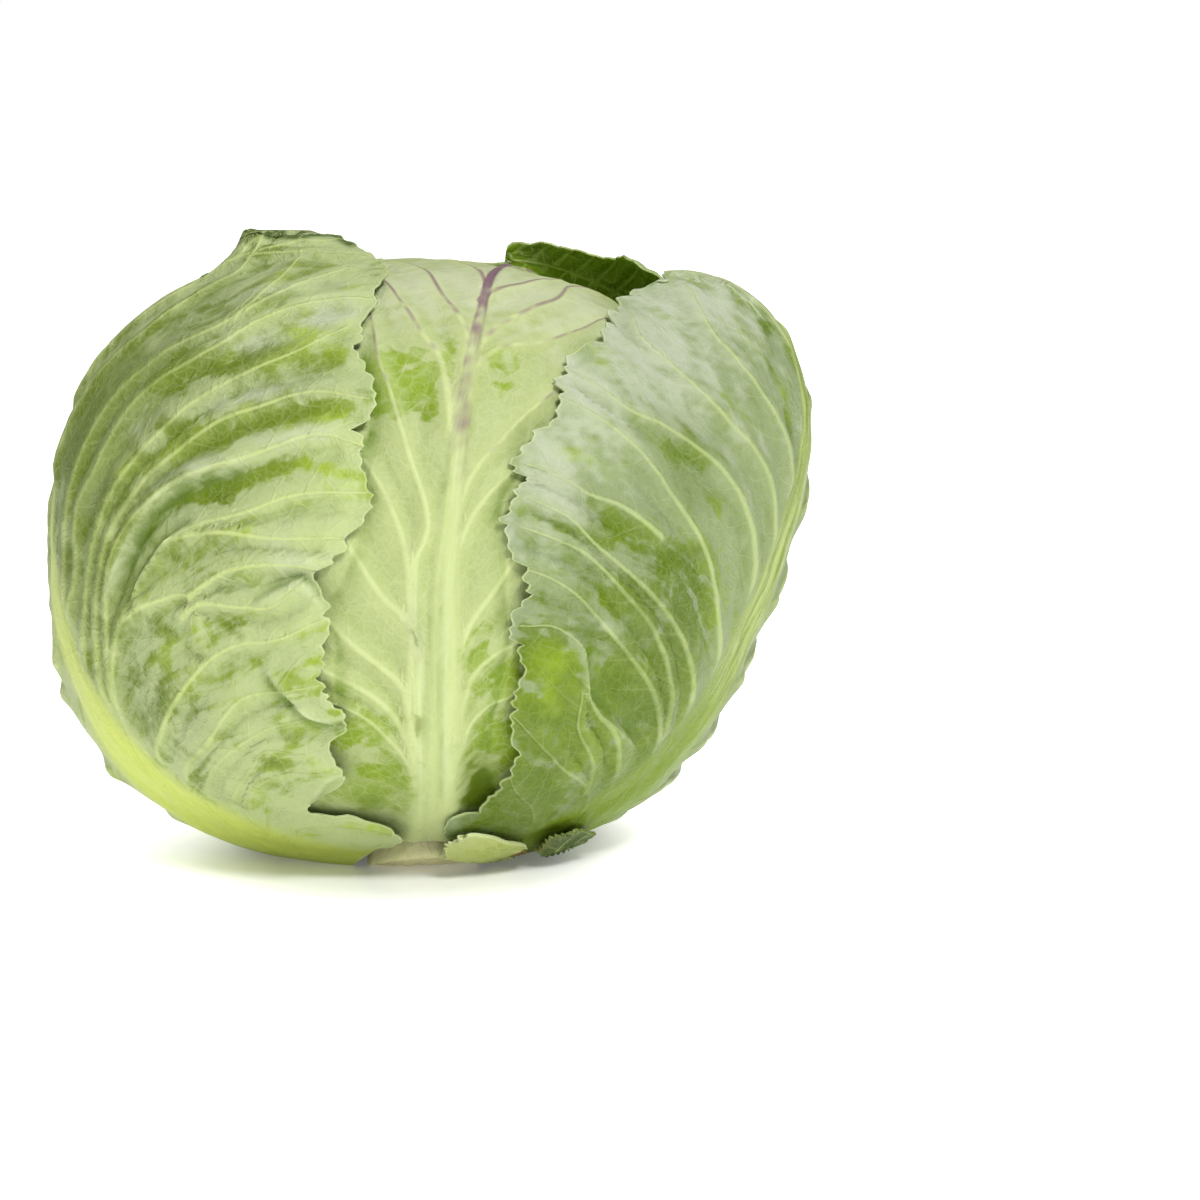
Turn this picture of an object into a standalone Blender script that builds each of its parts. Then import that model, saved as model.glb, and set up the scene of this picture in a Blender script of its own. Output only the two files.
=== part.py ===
# A white cabbage as it is sold: the dense head of wrapped leaves, two closely wrapped leaves,
# three loose outer leaves, the cut stem, a snapped leaf stalk and a torn scrap of leaf.
# World frame in metres: +Z up, the floor at Z = 0, the side that is looked at towards -Y.
# Sizes below are in millimetres and degrees, and toMetres turns the finished points into metres.
import math

import bmesh
import bpy
import numpy as np

toMetres = 0.001

# The outside of the whole head, without the loose leaf tips
headRadius = 99.0
crownHeight = 87.0
baseHeight = 84.5
crownPower = 2.45
basePower = 2.5
floorBlend = 3.0
floorPress = 0.9
headCentre = np.array((-9.2, -0.2, 79.0))

# The stem points down and forwards, so the head leans back on its flat spot
stemLean = 30.0
stemRoll = 5.0
stemAngle = 10.4
stemReach = 1.5
stemClearance = 2.2

# Layers under the outside, from the loose leaves in to the dense head
wrapDepth = 3.4
rearDepth = 6.9
heartDepth = 14.2
heartStep = 1.5
leafThickness = 1.1
edgeThickness = 0.8

# Each leaf has the same number of main side veins and three rows of its grid for each vein
veinCount = 9
rowsPerVein = 3
leafRows = veinCount * rowsPerVein
leafColumns = 16
veinHeight = 0.7
veinRise = 1.9
ribBend = 1.45

# Leaf frame: up to the crown, front to the side that is looked at, right as seen from the front
headUp = np.array((-math.sin(math.radians(stemRoll)), math.sin(math.radians(stemLean)), 0.0))
headUp[2] = math.sqrt(1 - headUp[0] ** 2 - headUp[1] ** 2)
headFront = np.array((0.0, -1.0, 0.0))
headFront -= headUp * (headFront @ headUp)
headFront /= np.linalg.norm(headFront)
headRight = np.cross(headUp, headFront)


def smoothStep(low, high, x):
    share = np.clip((x - low) / (high - low), 0, 1)
    return share * share * (3 - 2 * share)


def throughPoints(knots, values, x):
    """A smooth curve through a few values, one for each knot."""
    knots, values = np.array(knots, float), np.array(values, float)
    slopes = np.gradient(values, knots)
    i = np.clip(np.searchsorted(knots, x) - 1, 0, len(knots) - 2)
    step = knots[i + 1] - knots[i]
    f = (x - knots[i]) / step
    ends = (2 * f**3 - 3 * f**2 + 1) * values[i] + (3 * f**2 - 2 * f**3) * values[i + 1]
    return ends + step * ((f**3 - 2 * f**2 + f) * slopes[i] + (f**3 - f**2) * slopes[i + 1])


def directionRound(azimuth, angle):
    """Angle from the stem, azimuth round it, 0 at the front and 90 at the right."""
    a, p = np.radians(azimuth), np.radians(angle)
    across = np.sin(p)[..., None]
    side = np.sin(a)[..., None] * headRight + np.cos(a)[..., None] * headFront
    return across * side - np.cos(p)[..., None] * headUp


def directionOver(azimuth, sideways, angle):
    """Angle from the stem along a leaf's middle, then sideways from it, so a tip may pass the crown."""
    middle = directionRound(np.full_like(angle, azimuth), angle)
    lateral = directionRound(np.array(azimuth + 90.0), np.array(90.0))
    w = np.radians(sideways)[..., None]
    return np.cos(w) * middle + np.sin(w) * lateral


def floorDistance(direction):
    return headCentre[2] / np.maximum(-direction[..., 2], 1e-3)


def outsideRadius(direction):
    """Distance from the head's centre to its outside: a rounded form with a flat spot on the floor."""
    height = direction[..., 2]
    side = np.sqrt(np.clip(1 - height**2, 0, 1))
    base = ((side / headRadius) ** basePower + (np.abs(height) / baseHeight) ** basePower) ** (-1 / basePower)
    crown = ((side / headRadius) ** crownPower + (np.abs(height) / crownHeight) ** crownPower)
    crown = crown ** (-1 / crownPower)
    form = np.where(height < 0, base, crown)
    floor = floorDistance(direction) + floorPress
    blend = np.maximum(floorBlend - np.abs(form - floor), 0) / floorBlend
    return np.minimum(form, floor) - blend**2 * floorBlend / 4


def leafAngles(leaf, s, t):
    """Sideways and stem angle at s, -1 to 1 from the left margin to the right, and t, 0 to 1 base to tip."""
    rib = leaf["ribFrom"] + (leaf["ribTo"] - leaf["ribFrom"]) * t**ribBend
    edges = [throughPoints(*zip(*((k, side) for k, side, up in leaf[name])), t) for name in ("left", "right")]
    heights = [throughPoints(*zip(*((k, up) for k, side, up in leaf[name])), t) for name in ("left", "right")]
    sideways = np.where(s < 0, -edges[0], edges[1]) * s
    edgeAngle = np.where(s < 0, heights[0], heights[1])
    m = np.abs(s)
    along = rib + (edgeAngle - rib) * m * (veinRise - (veinRise - 1) * m)
    scallop = leaf["scallop"] * m**6 * np.sin(2 * math.pi * (veinCount * t + 0.2) + 2.0 * s)
    return sideways + scallop * np.sign(s), along


def leafDirection(leaf, sideways, along):
    if leaf["over"]:
        drift = leaf["drift"] * (np.maximum(along - 60.0, 0) / 76.0) ** 1.6
        return directionOver(leaf["azimuth"], sideways + drift, along)
    return directionRound(leaf["azimuth"] + sideways, along)


def leafRelief(leaf, s, t, sideways, along):
    """Midrib, side veins, puckering between them and a waved margin, in millimetres outwards."""
    fromRib = np.abs(np.radians(sideways)) * np.abs(np.sin(np.radians(along))) * headRadius
    if leaf["over"]:
        fromRib = np.abs(np.radians(sideways)) * headRadius
    ribWidth = leaf["ribWidth"] * (1 - 0.7 * t)
    rib = leaf["ribHeight"] * (1 - 0.75 * t) * np.clip(1 - (fromRib / ribWidth) ** 2, 0, 1)
    ridge = 0.5 + 0.5 * np.cos(2 * math.pi * (veinCount * t - 1 / rowsPerVein))
    veins = veinHeight * (ridge - 0.5) * smoothStep(0.02, 0.2, np.abs(s)) * (1 - 0.5 * np.abs(s))
    pucker = 0.3 * np.sin(9.0 * s + 3.1 * t + leaf["azimuth"]) * np.sin(17.0 * t - 4.0 * s)
    wave = leaf["wave"] * np.abs(s) ** 5 * np.sin(2 * math.pi * veinCount * t + 3.0 * s)
    return rib + veins + pucker + wave


def leafPoints(leaf, s, t, side):
    """Points of a leaf: side 0 on its outer face, 1 on its inner face."""
    sideways, along = leafAngles(leaf, s, t)
    direction = leafDirection(leaf, sideways, along)
    outer = outsideRadius(direction) - leaf["depth"](sideways, along)
    outer = outer + leafRelief(leaf, s, t, sideways, along) + leaf["flare"](sideways, along)
    outer = np.minimum(outer, floorDistance(direction))
    stalk = leaf["stalk"] * smoothStep(0.22, 0.0, t) * (1 - s**2)
    thickness = edgeThickness + (leafThickness - edgeThickness) * smoothStep(1.0, 0.7, np.abs(s)) + stalk
    return headCentre + (outer - side * thickness)[..., None] * direction


def noFlare(sideways, along):
    return 0.0 * along


def leftDepth(sideways, along):
    return wrapDepth * smoothStep(-12.0, -32.0, sideways)


def leftFlare(sideways, along):
    tip = 9.0 * smoothStep(43.0, 51.0, sideways) * np.clip((96.0 - sideways) / 44.0, 0, 1)
    return tip * smoothStep(135.0, 151.0, along)


def rightFlare(sideways, along):
    return 33.0 * smoothStep(-42.0, 8.0, sideways) * smoothStep(52.0, 124.0, along) ** 1.3


def backDepth(sideways, along):
    underRight = smoothStep(10.0, -8.0, sideways) * smoothStep(95.0, 75.0, along)
    return wrapDepth * underRight


def backFlare(sideways, along):
    return 11.0 * smoothStep(-44.0, -70.0, sideways) * smoothStep(114.0, 131.0, along)


def evenDepth(depth):
    return lambda sideways, along: depth + 0.0 * along


# Margins run from the stalk to the tip as (share of the way, sideways angle, angle from the stem)
leafLeft = {
    "azimuth": -90.0, "over": False, "ribFrom": 12.0, "ribTo": 140.0, "ribWidth": 15.0, "ribHeight": 2.4,
    "stalk": 0.6, "scallop": 1.4, "wave": 0.6, "depth": leftDepth, "flare": leftFlare,
    "right": (
        (0.00, 44, 12), (0.04, 74, 13), (0.075, 82, 16), (0.11, 78, 22), (0.148, 57, 29), (0.185, 72, 33),
        (0.23, 74, 39), (0.265, 81, 43), (0.30, 76, 47), (0.36, 79, 53), (0.41, 80, 60), (0.445, 80, 65),
        (0.48, 85, 69), (0.52, 88.5, 75), (0.63, 91, 93), (0.67, 89.5, 102), (0.705, 92, 111),
        (0.745, 93, 128), (0.80, 89, 158), (0.86, 70, 158), (0.92, 53, 153), (1.00, 28, 146),
    ),
    "left": (
        (0.00, -44, 12), (0.06, -58, 20), (0.18, -66, 38), (0.35, -72, 62), (0.55, -72, 92),
        (0.72, -64, 121), (0.86, -46, 138), (1.00, -22, 142),
    ),
}

leafRight = {
    "azimuth": 92.0, "over": False, "ribFrom": 12.0, "ribTo": 117.0, "ribWidth": 15.0, "ribHeight": 2.2,
    "stalk": 0.6, "scallop": 1.2, "wave": 0.7, "depth": evenDepth(0.0), "flare": rightFlare,
    "right": (
        (0.00, 42, 12), (0.08, 46, 24), (0.25, 51, 46), (0.45, 56, 72), (0.62, 53, 95), (0.78, 42, 112),
        (0.90, 28, 118), (1.00, 12, 119),
    ),
    "left": (
        (0.00, -40, 12), (0.05, -70, 14), (0.09, -79, 21), (0.13, -65, 24), (0.19, -63, 32), (0.31, -67, 49),
        (0.42, -68.5, 63), (0.53, -71, 77), (0.60, -68, 84), (0.66, -63, 92), (0.73, -56, 103),
        (0.80, -40, 118), (0.87, -24, 127), (0.94, -17, 125), (1.00, -11, 120.5),
    ),
}

leafBack = {
    "azimuth": 160.0, "over": False, "ribFrom": 12.0, "ribTo": 154.0, "ribWidth": 15.0, "ribHeight": 2.2,
    "stalk": 0.4, "scallop": 1.2, "wave": 0.5, "depth": backDepth, "flare": backFlare,
    "right": (
        (0.00, 40, 12), (0.06, 62, 20), (0.18, 72, 36), (0.35, 74, 62), (0.55, 70, 94), (0.70, 62, 120),
        (0.82, 54, 140), (0.92, 40, 152), (1.00, 18, 156),
    ),
    "left": (
        (0.00, -26, 12), (0.07, -40, 22), (0.18, -58, 38), (0.35, -62, 64), (0.52, -65, 92),
        (0.61, -74, 113), (0.67, -85, 128), (0.73, -83, 136), (0.80, -74, 146), (0.86, -65, 155),
        (0.91, -51, 159.5), (1.00, -16, 157),
    ),
}

leafFront = {
    "azimuth": 9.0, "over": True, "drift": 18.0, "ribFrom": 12.0, "ribTo": 172.0, "ribWidth": 12.0,
    "ribHeight": 2.0, "stalk": 0.6, "scallop": 0.8, "wave": 0.3, "depth": evenDepth(wrapDepth),
    "flare": noFlare,
    "right": (
        (0.00, 7, 12), (0.06, 16, 21), (0.15, 27, 36), (0.30, 40, 60), (0.50, 46, 92), (0.66, 42, 122),
        (0.80, 36, 148), (0.92, 24, 166), (1.00, 11, 175),
    ),
    "left": (
        (0.00, -7, 12), (0.06, -16, 21), (0.15, -28, 36), (0.30, -42, 60), (0.50, -50, 92), (0.66, -50, 122),
        (0.80, -44, 148), (0.92, -28, 166), (1.00, -12, 175),
    ),
}

leafRear = {
    "azimuth": 184.0, "over": True, "drift": 0.0, "ribFrom": 12.0, "ribTo": 176.0, "ribWidth": 12.0,
    "ribHeight": 1.0, "stalk": 0.4, "scallop": 0.8, "wave": 0.2, "depth": evenDepth(rearDepth),
    "flare": noFlare,
    "right": (
        (0.00, 7, 12), (0.06, 16, 21), (0.15, 28, 36), (0.30, 42, 60), (0.50, 50, 92), (0.66, 50, 122),
        (0.80, 44, 148), (0.92, 28, 168), (1.00, 12, 178),
    ),
    "left": (
        (0.00, -7, 12), (0.06, -16, 21), (0.15, -28, 36), (0.30, -42, 60), (0.50, -50, 92), (0.66, -50, 122),
        (0.80, -44, 148), (0.92, -28, 168), (1.00, -12, 178),
    ),
}

leafStub = {
    "azimuth": 46.0, "over": False, "ribFrom": 12.0, "ribTo": 19.5, "ribWidth": 10.0, "ribHeight": 0.8,
    "stalk": 0.4, "scallop": 1.2, "wave": 0.3, "depth": evenDepth(-3.9), "flare": noFlare,
    "right": ((0.0, 26, 12), (0.5, 31, 16), (1.0, 17, 19.5)),
    "left": ((0.0, -26, 12), (0.5, -30, 16), (1.0, -24, 20.5)),
}

leafScrap = {
    "azimuth": 87.0, "over": False, "ribFrom": 19.5, "ribTo": 28.5, "ribWidth": 5.0, "ribHeight": 0.4,
    "stalk": 0.0, "scallop": 1.0, "wave": 0.3, "depth": evenDepth(-4.2), "flare": noFlare,
    "right": ((0.0, 9, 19.5), (0.5, 13, 24), (1.0, 8, 27)),
    "left": ((0.0, -14, 19), (0.5, -21, 23), (1.0, -12, 27)),
}

# Leaf edges that show on the dense head: azimuth, half-width and reach past the stem, inner leaf first
heartLeaves = ((60.0, 74.0, 176.0), (250.0, 70.0, 172.0), (140.0, 66.0, 168.0), (330.0, 62.0, 160.0))


def makeMaterial(name, color, roughness):
    material = bpy.data.materials.new(name)
    material.use_nodes = True
    shader = material.node_tree.nodes["Principled BSDF"]
    shader.inputs["Base Color"].default_value = (*color, 1.0)
    shader.inputs["Roughness"].default_value = roughness
    shader.inputs["Metallic"].default_value = 0.0
    return material


def addObject(name, grid, points, material):
    """Gives the grid its bent points and turns its faces outwards, so that its volume is positive."""
    bmesh.ops.recalc_face_normals(grid, faces=grid.faces)
    for vertex, point in zip(grid.verts, points * toMetres):
        vertex.co = point
    if grid.calc_volume(signed=True) < 0:
        bmesh.ops.reverse_faces(grid, faces=grid.faces)
    mesh = bpy.data.meshes.new(name)
    grid.to_mesh(mesh)
    grid.free()
    mesh.shade_smooth()
    mesh.set_sharp_from_angle(angle=math.radians(50))
    mesh.materials.append(material)
    bpy.context.scene.collection.objects.link(bpy.data.objects.new(name, mesh))


def gridPlaces(grid):
    return np.array([v.co for v in grid.verts], float)


def makeSlab(columns, rows):
    """A flat slab of triangles, alike on both faces: x from -1 to 1, y from 0 to 1, z 0 or 1."""
    slab = bmesh.new()
    bmesh.ops.create_grid(slab, x_segments=columns, y_segments=rows, size=1.0)
    bmesh.ops.triangulate(slab, faces=slab.faces)
    for vertex in slab.verts:
        vertex.co.y = 0.5 + 0.5 * vertex.co.y
    lower = bmesh.ops.duplicate(slab, geom=slab.verts[:] + slab.edges[:] + slab.faces[:])
    for item in lower["geom"]:
        if isinstance(item, bmesh.types.BMVert):
            item.co.z = 1.0
    rims = [edge for edge in slab.edges if edge.is_boundary]
    bmesh.ops.bridge_loops(slab, edges=rims)
    bmesh.ops.triangulate(slab, faces=[face for face in slab.faces if len(face.verts) > 3])
    return slab


def makeLeaf(name, leaf, columns, rows, material):
    slab = makeSlab(columns, rows)
    x, t, side = gridPlaces(slab).T
    s = np.sign(x) * np.abs(x) ** 1.25
    addObject(name, slab, leafPoints(leaf, s, t, side), material)


def heartRadius(direction):
    """The dense head: each wrapped leaf adds its own thickness inside its margin."""
    radius = outsideRadius(direction) - heartDepth
    for azimuth, halfWidth, reach in heartLeaves:
        middle = directionRound(np.array(azimuth), np.array(0.5 * reach))
        lateral = directionRound(np.array(azimuth + 90.0), np.array(90.0))
        sideways = np.degrees(np.arcsin(np.clip(direction @ lateral, -1, 1)))
        along = np.degrees(np.arccos(np.clip(direction @ middle, -1, 1)))
        inside = np.minimum(halfWidth - np.abs(sideways), 0.5 * reach - along)
        radius = radius + heartStep * smoothStep(0.0, 5.0, inside + 1.5 * np.sin(np.radians(6 * along)))
    return radius


def makeHeart(material):
    ball = bmesh.new()
    bmesh.ops.create_icosphere(ball, subdivisions=4, radius=1.0)
    direction = gridPlaces(ball)
    direction /= np.linalg.norm(direction, axis=1)[:, None]
    radius = np.minimum(heartRadius(direction), floorDistance(direction) - heartDepth)
    addObject("heart", ball, headCentre + radius[:, None] * direction, material)


def makeStem(material):
    """The cut stem: a short, slightly angled stump from just under the dense head to the floor."""
    stump = bmesh.new()
    bmesh.ops.create_cone(stump, cap_ends=True, cap_tris=False, segments=30, radius1=1.0, radius2=1.0, depth=2.0)
    bmesh.ops.triangulate(stump, faces=stump.faces)
    x, y, level = gridPlaces(stump).T
    azimuth = np.degrees(np.arctan2(x, -y))
    lobes = 1 + 0.04 * np.cos(np.radians(5 * azimuth))
    direction = directionRound(azimuth, (stemAngle - 0.4) * lobes / 1.04)
    inner = heartRadius(direction) + stemClearance
    outer = np.minimum(outsideRadius(direction) + stemReach, floorDistance(direction))
    radius = np.where(level > 0, inner, outer)
    addObject("stem", stump, headCentre + radius[:, None] * direction, material)


def main():
    for obj in list(bpy.data.objects):
        bpy.data.objects.remove(obj, do_unlink=True)
    bloom = makeMaterial("leaf_bloom", (0.40, 0.49, 0.22), 0.5)
    pale = makeMaterial("leaf_pale", (0.60, 0.68, 0.32), 0.45)
    dark = makeMaterial("leaf_dark", (0.10, 0.15, 0.02), 0.4)
    cream = makeMaterial("stem_cream", (0.56, 0.57, 0.22), 0.55)
    makeHeart(pale)
    makeStem(cream)
    makeLeaf("leaf_rear", leafRear, leafColumns, leafRows, pale)
    makeLeaf("leaf_front", leafFront, leafColumns, leafRows, pale)
    makeLeaf("leaf_left", leafLeft, leafColumns, leafRows, bloom)
    makeLeaf("leaf_right", leafRight, leafColumns, leafRows, bloom)
    makeLeaf("leaf_back", leafBack, leafColumns, leafRows, bloom)
    makeLeaf("leaf_stub", leafStub, 10, 3, cream)
    makeLeaf("leaf_scrap", leafScrap, 6, 4, dark)


main()
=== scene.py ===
import math

import bmesh
import bpy
import numpy as np
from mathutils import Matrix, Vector, kdtree


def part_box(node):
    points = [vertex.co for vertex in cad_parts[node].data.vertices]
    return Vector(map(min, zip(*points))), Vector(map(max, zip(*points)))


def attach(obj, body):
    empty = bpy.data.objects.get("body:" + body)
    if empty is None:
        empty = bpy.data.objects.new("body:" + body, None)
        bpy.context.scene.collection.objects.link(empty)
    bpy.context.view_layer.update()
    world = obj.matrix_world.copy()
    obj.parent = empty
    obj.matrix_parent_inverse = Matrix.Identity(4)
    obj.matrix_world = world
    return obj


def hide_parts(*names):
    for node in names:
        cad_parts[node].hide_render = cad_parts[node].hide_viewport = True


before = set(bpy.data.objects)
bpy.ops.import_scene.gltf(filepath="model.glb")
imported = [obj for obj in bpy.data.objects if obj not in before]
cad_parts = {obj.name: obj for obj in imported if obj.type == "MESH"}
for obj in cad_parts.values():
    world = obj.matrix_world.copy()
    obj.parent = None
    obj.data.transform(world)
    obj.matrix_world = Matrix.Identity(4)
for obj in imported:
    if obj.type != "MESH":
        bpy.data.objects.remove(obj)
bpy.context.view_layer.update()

# A white cabbage with its loose outer leaves, in a plain studio. The form is worked out in millimetres
# and degrees with the same values as the solids, and toMetres turns the finished points into metres.
toMetres = 0.001

headForm = {
    "radius": 99.0, "crownHeight": 87.0, "baseHeight": 84.5, "crownPower": 2.45, "basePower": 2.5,
    "floorBlend": 3.0, "floorPress": 0.9, "centre": np.array((-9.2, -0.2, 79.0)),
    "stemLean": 30.0, "stemRoll": 5.0,
}
# how deep each layer lies under the outside, and how thick a leaf and its margin are
layers = {"wrap": 3.4, "rear": 6.9, "heart": 14.2, "heartStep": 1.5, "leaf": 1.1, "edge": 0.8}
veinCount = 9
rowsPerVein = 3
veinRise = 1.9
ribBend = 1.45
alongSize = 1.62  # millimetres for one degree along a leaf

headCentre = headForm["centre"]
lean, roll = math.radians(headForm["stemLean"]), math.radians(headForm["stemRoll"])
headUp = np.array((-math.sin(roll), math.sin(lean), 0.0))
headUp[2] = math.sqrt(1 - headUp[0] ** 2 - headUp[1] ** 2)
headFront = np.array((0.0, -1.0, 0.0))
headFront -= headUp * (headFront @ headUp)
headFront /= np.linalg.norm(headFront)
headRight = np.cross(headUp, headFront)


def smoothStep(low, high, x):
    share = np.clip((x - low) / (high - low), 0, 1)
    return share * share * (3 - 2 * share)


def throughPoints(knots, values, x):  # a smooth curve through a few values
    knots, values = np.array(knots, float), np.array(values, float)
    slopes = np.gradient(values, knots)
    i = np.clip(np.searchsorted(knots, x) - 1, 0, len(knots) - 2)
    step = knots[i + 1] - knots[i]
    f = (x - knots[i]) / step
    ends = (2 * f**3 - 3 * f**2 + 1) * values[i] + (3 * f**2 - 2 * f**3) * values[i + 1]
    return ends + step * ((f**3 - 2 * f**2 + f) * slopes[i] + (f**3 - f**2) * slopes[i + 1])


def directionRound(azimuth, angle):  # azimuth 0 at the front, 90 at the right; angle from the stem
    a, p = np.radians(azimuth), np.radians(angle)
    across = np.sin(p)[..., None]
    side = np.sin(a)[..., None] * headRight + np.cos(a)[..., None] * headFront
    return across * side - np.cos(p)[..., None] * headUp


def directionOver(azimuth, sideways, angle):
    middle = directionRound(np.full_like(angle, azimuth), angle)
    lateral = directionRound(np.array(azimuth + 90.0), np.array(90.0))
    w = np.radians(sideways)[..., None]
    return np.cos(w) * middle + np.sin(w) * lateral


def floorDistance(direction):
    return headCentre[2] / np.maximum(-direction[..., 2], 1e-3)


def outsideRadius(direction):
    f = headForm
    height = direction[..., 2]
    side = np.sqrt(np.clip(1 - height**2, 0, 1))
    base = (side / f["radius"]) ** f["basePower"] + (np.abs(height) / f["baseHeight"]) ** f["basePower"]
    crown = (side / f["radius"]) ** f["crownPower"] + (np.abs(height) / f["crownHeight"]) ** f["crownPower"]
    form = np.where(height < 0, base ** (-1 / f["basePower"]), crown ** (-1 / f["crownPower"]))
    floor = floorDistance(direction) + f["floorPress"]
    blend = np.maximum(f["floorBlend"] - np.abs(form - floor), 0) / f["floorBlend"]
    return np.minimum(form, floor) - blend**2 * f["floorBlend"] / 4


def softNoise(points, size, seed):  # a smooth field, about -1 to 1, with bumps of the given size
    maker = np.random.default_rng(seed)
    total = 0.0
    for _ in range(9):
        wave = maker.normal(size=3)
        wave *= maker.uniform(0.7, 1.4) * 2 * math.pi / (size * np.linalg.norm(wave))
        total = total + np.sin(points @ wave + maker.uniform(0, 2 * math.pi))
    return total / 3.2


def noFlare(sideways, along):
    return 0.0 * along


def leftDepth(sideways, along):
    return layers["wrap"] * smoothStep(-12.0, -32.0, sideways)


def leftFlare(sideways, along):
    tip = 9.0 * smoothStep(43.0, 51.0, sideways) * np.clip((96.0 - sideways) / 44.0, 0, 1)
    return tip * smoothStep(135.0, 151.0, along)


def rightFlare(sideways, along):
    return 33.0 * smoothStep(-42.0, 8.0, sideways) * smoothStep(52.0, 124.0, along) ** 1.3


def backDepth(sideways, along):
    return layers["wrap"] * smoothStep(10.0, -8.0, sideways) * smoothStep(95.0, 75.0, along)


def backFlare(sideways, along):
    return 11.0 * smoothStep(-44.0, -70.0, sideways) * smoothStep(114.0, 131.0, along)


def evenDepth(depth):
    return lambda sideways, along: depth + 0.0 * along


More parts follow.
